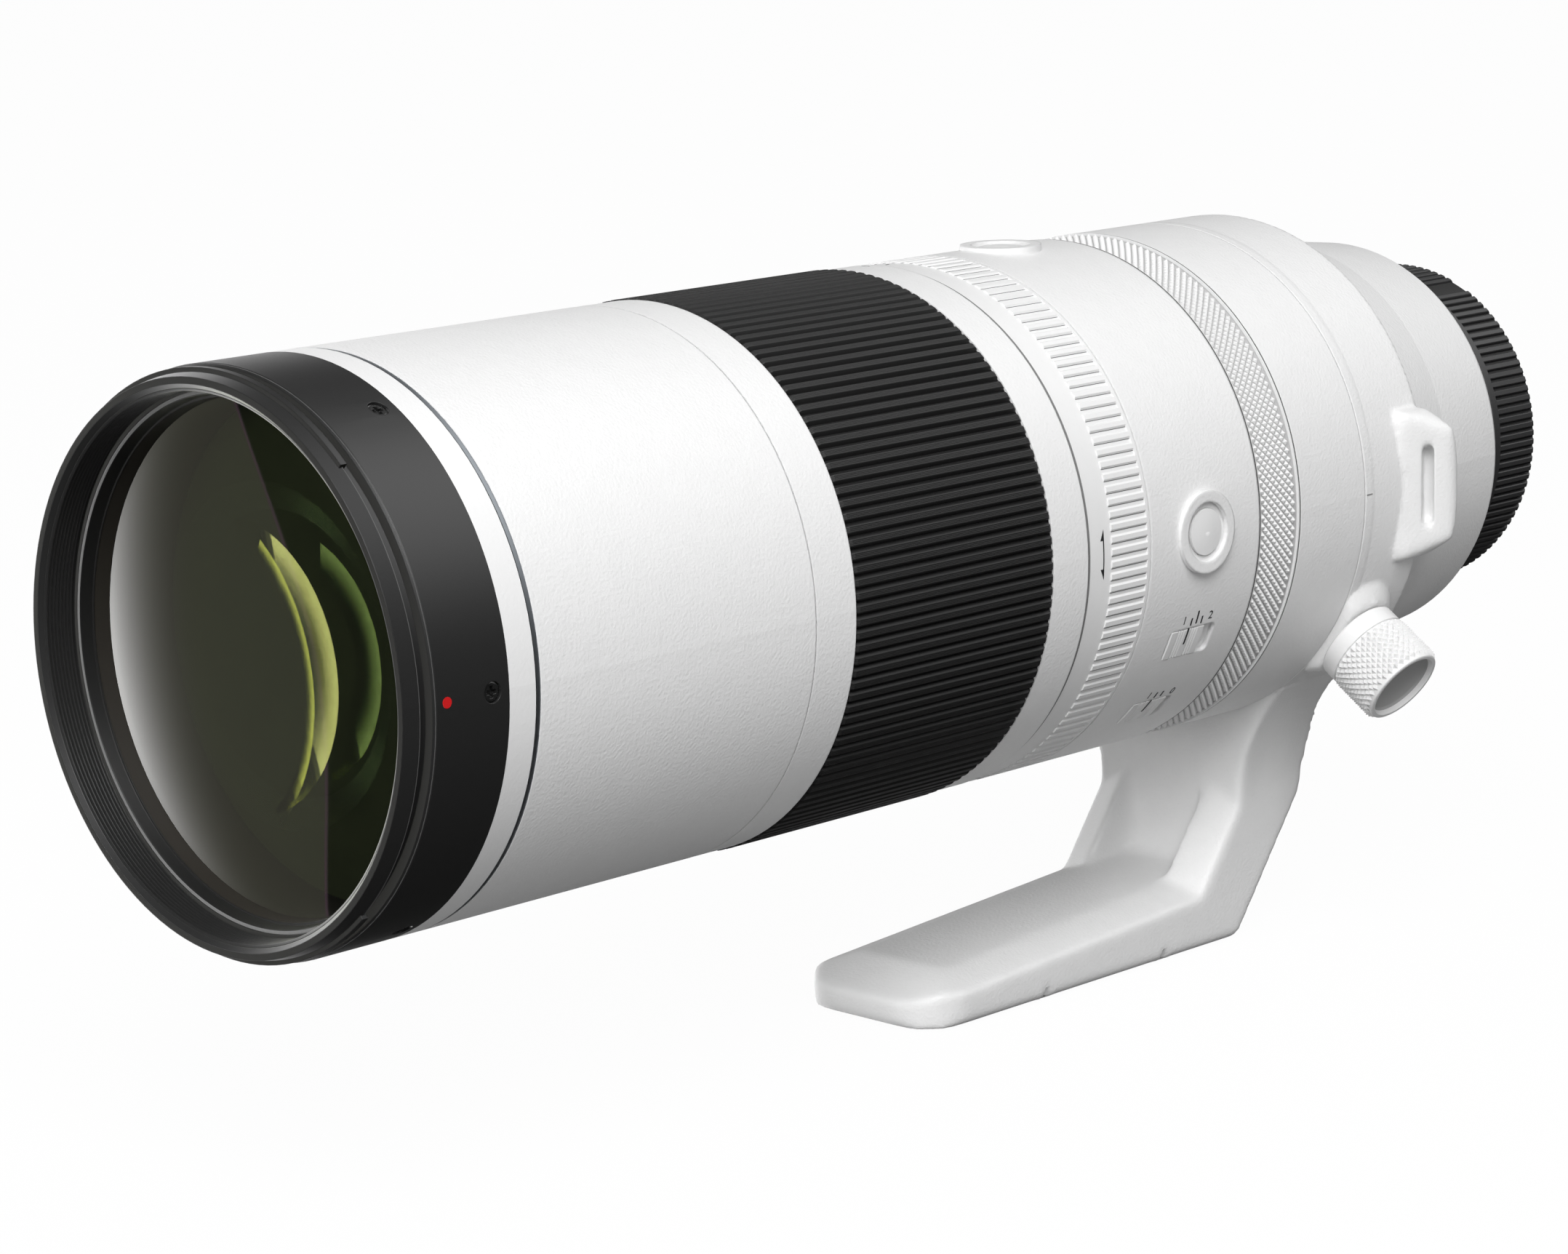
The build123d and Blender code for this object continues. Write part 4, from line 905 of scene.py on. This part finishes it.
knob_base = 53.55
knob_end = 68.20
knob_radius = 9.25
knob_neck = 8.95
knob_neck_length = 3.75
knob_shaft_radius = 3.0
knob_shaft_foot = 50.15
knob_count = 36
knob_root = knob_radius - 0.75
knob_front = knob_base + knob_neck_length
knob_rear = knob_end - 0.5
knob_body = ring("knob_body", [
    (knob_shaft_foot, 0.001), (knob_shaft_foot, knob_shaft_radius), (knob_base, knob_shaft_radius),
    (knob_base, knob_neck - 0.4), (knob_base + 0.4, knob_neck), (knob_front, knob_neck),
    (knob_front + 0.1, knob_root), (knob_rear, knob_root), (knob_end - 0.15, knob_root - 0.1),
    (knob_end, knob_root - 0.35), (knob_end, knob_root - 0.95), (knob_end - 0.25, knob_root - 1.15),
    (knob_end - 1.0, knob_root - 1.3), (knob_end - 1.5, knob_root - 1.6), (knob_end - 2.6, knob_root - 4.0),
    (knob_end - 2.8, 0.001)], knob_white, 96)
# The dish's faces get the darker paint, which is painted shade.
knob_body = faced(knob_body, knob_dish_shade, lambda normal, centre: centre.y > knob_end - 2.9
                  and math.hypot(centre.x, centre.z) < knob_root - 1.25)
knurl = pyramids("knob_pyramid", 2 * math.pi * knob_root / knob_count, (knob_rear - knob_front) / 6.5,
                 knob_radius - knob_root, knob_root, knob_front, knob_rear, knob_white)
knob = joined("knurled_lock_knob", [knob_body, copied(knurl, knob_count, knob_white)])
outwards = on_axis(knob_angle, 1.0, 0.0)
lay = Matrix((outwards.cross(axis), outwards, axis)).transposed().to_4x4()
lay.translation = Vector((0, knob_station * MM, 0))
knob.data.transform(lay)
placed(knob, "knob", "lock_knob")


# Rear cap with 112 places for a ridge, two of which are left free as its index notch

cap_front = 0.6
cap_rear = 16.5
cap_rim_radius = 35.3
cap_tooth_radius = 34.7
cap_root = 34.0
cap_rim_rear = 2.7
cap_count = 112
cap_bore = 33.1
cap_pitch = 2 * math.pi * cap_tooth_radius / cap_count
cap_half = cap_pitch / 2
cap_step = 360.0 / cap_count
notch_angle = 64.0
# The shell under the ridges has the darker plastic, which is painted shade.
cap_shell = ring("cap_shell", [
    (cap_front + 0.02, cap_bore), (cap_front + 0.02, cap_rim_radius - 0.3),
    (cap_front + 0.3, cap_rim_radius - 0.05), (cap_rim_rear - 0.25, cap_rim_radius - 0.05),
    (cap_rim_rear - 0.05, cap_root), (cap_rear - 0.65, cap_root), (cap_rear - 0.7, cap_root - 0.5),
    (cap_rear - 0.7, 0.001), (cap_rear - 1.8, 0.001), (cap_rear - 1.8, cap_bore)], cap_valley_shade)


def ridge_outline(drop):
    """One ridge of the cap across the turn."""
    top = cap_tooth_radius - drop
    low = cap_root - 0.1
    return [(-cap_half * 0.72, low), (-cap_half * 0.62, max(low, top - 0.2)), (-cap_half * 0.45, top),
            (cap_half * 0.45, top), (cap_half * 0.62, max(low, top - 0.2)), (cap_half * 0.72, low)]


ridge = rib("cap_ridge", [(cap_rim_rear - 0.1, ridge_outline(0)), (cap_rear - 1.2, ridge_outline(0)),
                          (cap_rear - 0.4, ridge_outline(0.6))], cap_plastic)
cap_faces = ring("cap_faces", [
    (cap_front, cap_rim_radius - 0.5), (cap_front, cap_rim_radius - 0.2), (cap_front + 0.2, cap_rim_radius),
    (cap_rim_rear - 0.2, cap_rim_radius), (cap_rim_rear, cap_rim_radius - 0.2),
    (cap_rim_rear, cap_rim_radius - 1.0)], cap_plastic)
cap_back = ring("cap_back", [
    (cap_rear - 0.6, cap_root + 0.02), (cap_rear - 0.02, cap_root - 0.45), (cap_rear, cap_root - 1.0),
    (cap_rear, cap_root - 2.4), (cap_rear - 0.5, cap_root - 2.8), (cap_rear - 0.5, 0.001),
    (cap_rear - 0.6, 0.001)], cap_plastic)
ridges = copied(ridge, cap_count - 2, cap_plastic, cap_step, notch_angle + 1.5 * cap_step)
cap = joined("ridged_rear_cap", [cap_shell, cap_faces, cap_back, ridges])
placed(cap, "cap", "rear_cap")


# Filter thread: fine ridges in the mouth of the front ring, and painted highlights on the edges of its steps

thread_front = -313.0
thread_pitch = 0.75
thread_root = 47.7
thread_crest = 46.95
lit_edges = ((-314.03, 48.35), (-311.02, 50.1), (-308.45, 51.0))
thread_parts = []
for turn in range(8):
    y = thread_front + thread_pitch * turn
    thread_parts.append(ring("thread_ridge", [
        (y - 0.28, thread_root), (y + 0.28, thread_root), (y + 0.28, thread_root - 0.3), (y, thread_crest),
        (y - 0.28, thread_root - 0.3)], black_metal, 192))
# Thin lighter rings on the step edges: painted highlights.
for y, radius in lit_edges:
    thread_parts.append(ring("lit_edge", [
        (y - 0.06, radius - 0.1), (y - 0.06, radius + 0.02), (y + 0.06, radius + 0.05),
        (y + 0.06, radius - 0.1)], edge_highlight))
threads = joined("filter_thread", thread_parts)
threads.visible_glossy = False
placed(threads, "front")


# Screws in the front ring: a flat head with a cross cut in it

def cross_screw(name, top_radius, station, head_radius, finish):
    """One screw at angle 0 whose head has a cross-shaped recess."""
    mesh = bmesh.new()
    arm = 0.22 * head_radius
    reach = 0.62 * head_radius
    cross = [(reach, -arm), (reach, arm), (arm, arm), (arm, reach), (-arm, reach), (-arm, arm),
             (-reach, arm), (-reach, -arm), (-arm, -arm), (-arm, -reach), (arm, -reach), (arm, -arm)]
    sides = 32
    edge = [on_axis(360.0 * step / sides, head_radius, 0.0).xz for step in range(sides)]
    inner = [(0.86 * u, 0.86 * v) for u, v in edge]

    def row(points, height):
        return [mesh.verts.new((top_radius - height, station + u, v)) for u, v in points]

    foot = row(edge, 0.9)
    rim = row(edge, 0.12)
    top = row(inner, 0.0)
    lip = row(cross, 0.0)
    floor = row([(0.8 * u, 0.8 * v) for u, v in cross], 0.6)
    for lower, upper in ((foot, rim), (rim, top), (lip, floor)):
        for corner in range(len(lower)):
            after = (corner + 1) % len(lower)
            mesh.faces.new((lower[corner], lower[after], upper[after], upper[corner]))
    mesh.faces.new(floor)
    mesh.faces.new(foot)
    loop = []
    for line in (top, lip):
        for corner in range(len(line)):
            loop.append(mesh.edges.get((line[corner], line[(corner + 1) % len(line)])))
    bmesh.ops.triangle_fill(mesh, edges=loop, use_beauty=True)
    return finished(name, mesh, finish)


screw_top = 50.78
screw_station = -296.3
screw_radius = 1.7
screw_count = 6
screw = cross_screw("cross_screws", screw_top, screw_station, screw_radius, screw_black)
screws = copied(screw, screw_count, screw_black)
placed(screws, "front", "front_ring_screws")


# Marks

dot = [on_axis(15.0 * step, 0.95, 0.0).xz for step in range(24)]
placed(wrapped("hood_index_dot", [dot], 0.0, -306.1, barrel_radius, red_ink), "front")

arrow = wrapped("tension_arrows", [
    bar(0.0, -4.2, 0.0, 3.9, 0.26),
    [(0.13, 2.5), (0.13, 4.6), (-0.85, 2.5)],
    [(0.13, -2.9), (-0.85, -2.9), (0.13, -4.9)]], 0.0, -144.25, strip_radius, ink)
placed(arrow, "tension")

top_angle = 92.5
tick = 0.36
thin_tick = 0.3
marks = (
    ("tension_index_bar", [bar(-0.4, 0.0, 0.4, 0.0, thin_tick)],
     top_angle, -145.0, strip_radius, "tension"),
    ("focus_switch_ticks", [bar(-1.55, -0.8, -1.55, 0.8, tick), bar(0.0, -0.6, 0.0, 2.15, tick),
                            bar(1.55, -0.8, 1.55, 0.8, tick)], -20.4, -113.95, barrel_radius, "barrel"),
    ("stabiliser_switch_ticks", [bar(-0.93, -0.8, -0.93, 0.8, tick), bar(0.93, -0.75, 0.93, 0.75, tick)],
     -40.8, -114.45, barrel_radius, "barrel"))
for name, outlines, angle, y, radius, body in marks:
    placed(wrapped(name, outlines, angle, y, radius, ink), body)

numbers = [("focus_number_1", "1", 2.5, -19.8, -117.7, "barrel"),
           ("focus_number_2", "2", 2.5, -19.8, -109.9, "barrel"),
           ("stabiliser_number_1", "1", 2.5, -40.5, -117.5, "barrel"),
           ("stabiliser_number_0", "0", 2.5, -40.8, -110.4, "barrel")]
for step in range(6):
    numbers.append((f"zoom_number_{step + 1}", str(step + 1), 3.0, top_angle + step * 24.0, -150.9, "zoom"))
for name, text, size, angle, y, body in numbers:
    placed(number(name, text, size, angle, y, barrel_radius, ink), body)

# A flat grey line where the collar has a small index groove: painted shade.
collar_tick = wrapped("collar_index_tick", [bar(-0.9, 0.0, 0.9, 0.0, thin_tick)], 0.0, -63.7, barrel_radius,
                      index_groove_shade)
placed(collar_tick, "collar")


# Floor, light and camera

def rays(finish, kind):
    """1 for the rays of that kind."""
    return finish.node("ShaderNodeLightPath", {}, {}, f"Is {kind} Ray")


def background():
    """The world: white to the camera, soft light on matt faces, and a studio with one white side in gloss.

    The white side starts at an edge that bends with the height and grows brighter away from it. The glow is
    the strip that black parts show along their upper right.
    """
    world = bpy.context.scene.world or bpy.data.worlds.new("studio")
    bpy.context.scene.world = world
    finish = Finish("studio", world)
    white = grey(1.0)
    direction = finish.node("ShaderNodeTexCoord", {}, {}, "Generated")
    split = finish.node("ShaderNodeSeparateXYZ", {}, {"Vector": direction}).socket.node
    x, y, z = [Channel(finish.tree, output) for output in split.outputs]
    turn = x.sum("ARCTAN2", 0.0 - x, 0.0 - y) * math.degrees(1.0)
    bend = z + 0.21
    edge = bend * bend * 135.0 + 42.0
    side = finish.step(turn - edge, -0.3, 0.3) * (1.0 - finish.step(turn, 112.0, 135.0))
    level = 1.0 - finish.step(z.size(), 0.60, 0.88)
    rise = (turn - 56.0) / 21.0
    rise = rise.sum("MINIMUM", rise.sum("MAXIMUM", rise, 0.0), 1.05)
    glow = finish.step(x * 0.317 + y * 0.69 + z * 0.645, 0.80, 1.0)
    above = finish.step(z, 0.35, 0.9)
    strength = side * level * (rise ** 4.0 * 2.6 + 0.25) + glow * 2.0 + above * 0.10 + 0.03
    tint = finish.mix(finish.step(turn, 60.0, 76.0), grey(1.0, (1.0, 0.99, 0.80)), white)
    tint = finish.mix((turn - edge).size() < 0.45, tint, grey(1.0, (1.5, 0.9, 1.3)))
    tint = finish.mix(side, white, tint)
    kind = "ShaderNodeBackground"
    soft = finish.node(kind, {}, {"Color": white, "Strength": z * 0.02 + y * 0.03 + 0.35})
    studio = finish.node(kind, {}, {"Color": tint, "Strength": strength})
    pale = finish.node(kind, {}, {"Color": white, "Strength": 1.0})
    mirrored = finish.node("ShaderNodeMixShader", {}, {0: rays(finish, "Glossy"), 1: soft, 2: studio})
    seen = rays(finish, "Camera") + rays(finish, "Transmission")
    seen = seen.sum("MINIMUM", seen, 1.0)
    mixed = finish.node("ShaderNodeMixShader", {}, {0: seen, 1: mirrored, 2: pale})
    finish.node("ShaderNodeOutputWorld", {}, {"Surface": mixed})


def floor_finish():
    """A pale floor that keeps the object's shadow and leaves the reflections to the world."""
    finish = Finish("pale_floor")
    camera = rays(finish, "Camera")
    dull = finish.node("ShaderNodeBsdfDiffuse", {}, {"Color": finish.mix(camera, grey(0.27), grey(0.9))})
    white = finish.node("ShaderNodeEmission", {}, {"Color": grey(1.0), "Strength": 1.0})
    clear = finish.node("ShaderNodeBsdfTransparent", {}, {})
    mixed = finish.node("ShaderNodeMixShader", {}, {0: camera * 0.97, 1: dull, 2: white})
    mixed = finish.node("ShaderNodeMixShader", {}, {0: rays(finish, "Glossy"), 1: mixed, 2: clear})
    finish.node("ShaderNodeOutputMaterial", {}, {"Surface": mixed})
    return finish.material


background()
floor_size = 6000.0
floor_height = -96.3
floor_mesh = bmesh.new()
bmesh.ops.create_grid(floor_mesh, x_segments=1, y_segments=1, size=floor_size)
bmesh.ops.translate(floor_mesh, verts=floor_mesh.verts, vec=(0, 0, floor_height))
floor = finished("studio_floor", floor_mesh, floor_finish())


def lamp(name, place, target, width, height, power):
    """A soft box that faces its target."""
    light = bpy.data.lights.new(name, "AREA")
    light.shape = "RECTANGLE"
    light.size = width
    light.size_y = height
    light.energy = power
    made = bpy.data.objects.new(name, light)
    made.location = place
    made.rotation_euler = (Vector(target) - Vector(place)).to_track_quat("-Z", "Y").to_euler()
    bpy.context.scene.collection.objects.link(made)
    return made


middle = (0.0, -0.15, 0.0)
lamp("key_box", (0.97, -1.03, 1.24), middle, 1.1, 1.1, 31.0)
front_box = lamp("front_box", (0.0, -1.75, 0.12), middle, 1.2, 0.3, 9.0)
front_box.visible_glossy = False

camera_data = bpy.data.cameras.new("camera")
camera_data.sensor_width = 36.0
camera_data.lens = 101.215
camera_data.clip_start = 0.01
camera = bpy.data.objects.new("camera", camera_data)
right = Vector((0.7109014, 0.70276123, -0.02731008))
down = Vector((0.11906645, -0.15853523, -0.98014783))
ahead = Vector((-0.69313951, 0.69353675, -0.19637821))
pose = Matrix((right, -down, -ahead)).transposed().to_4x4()
pose.translation = Vector((0.578350, -0.756701, 0.149319))
camera.matrix_world = pose
bpy.context.scene.collection.objects.link(camera)
bpy.context.scene.camera = camera
bpy.context.scene.view_settings.view_transform = "Standard"
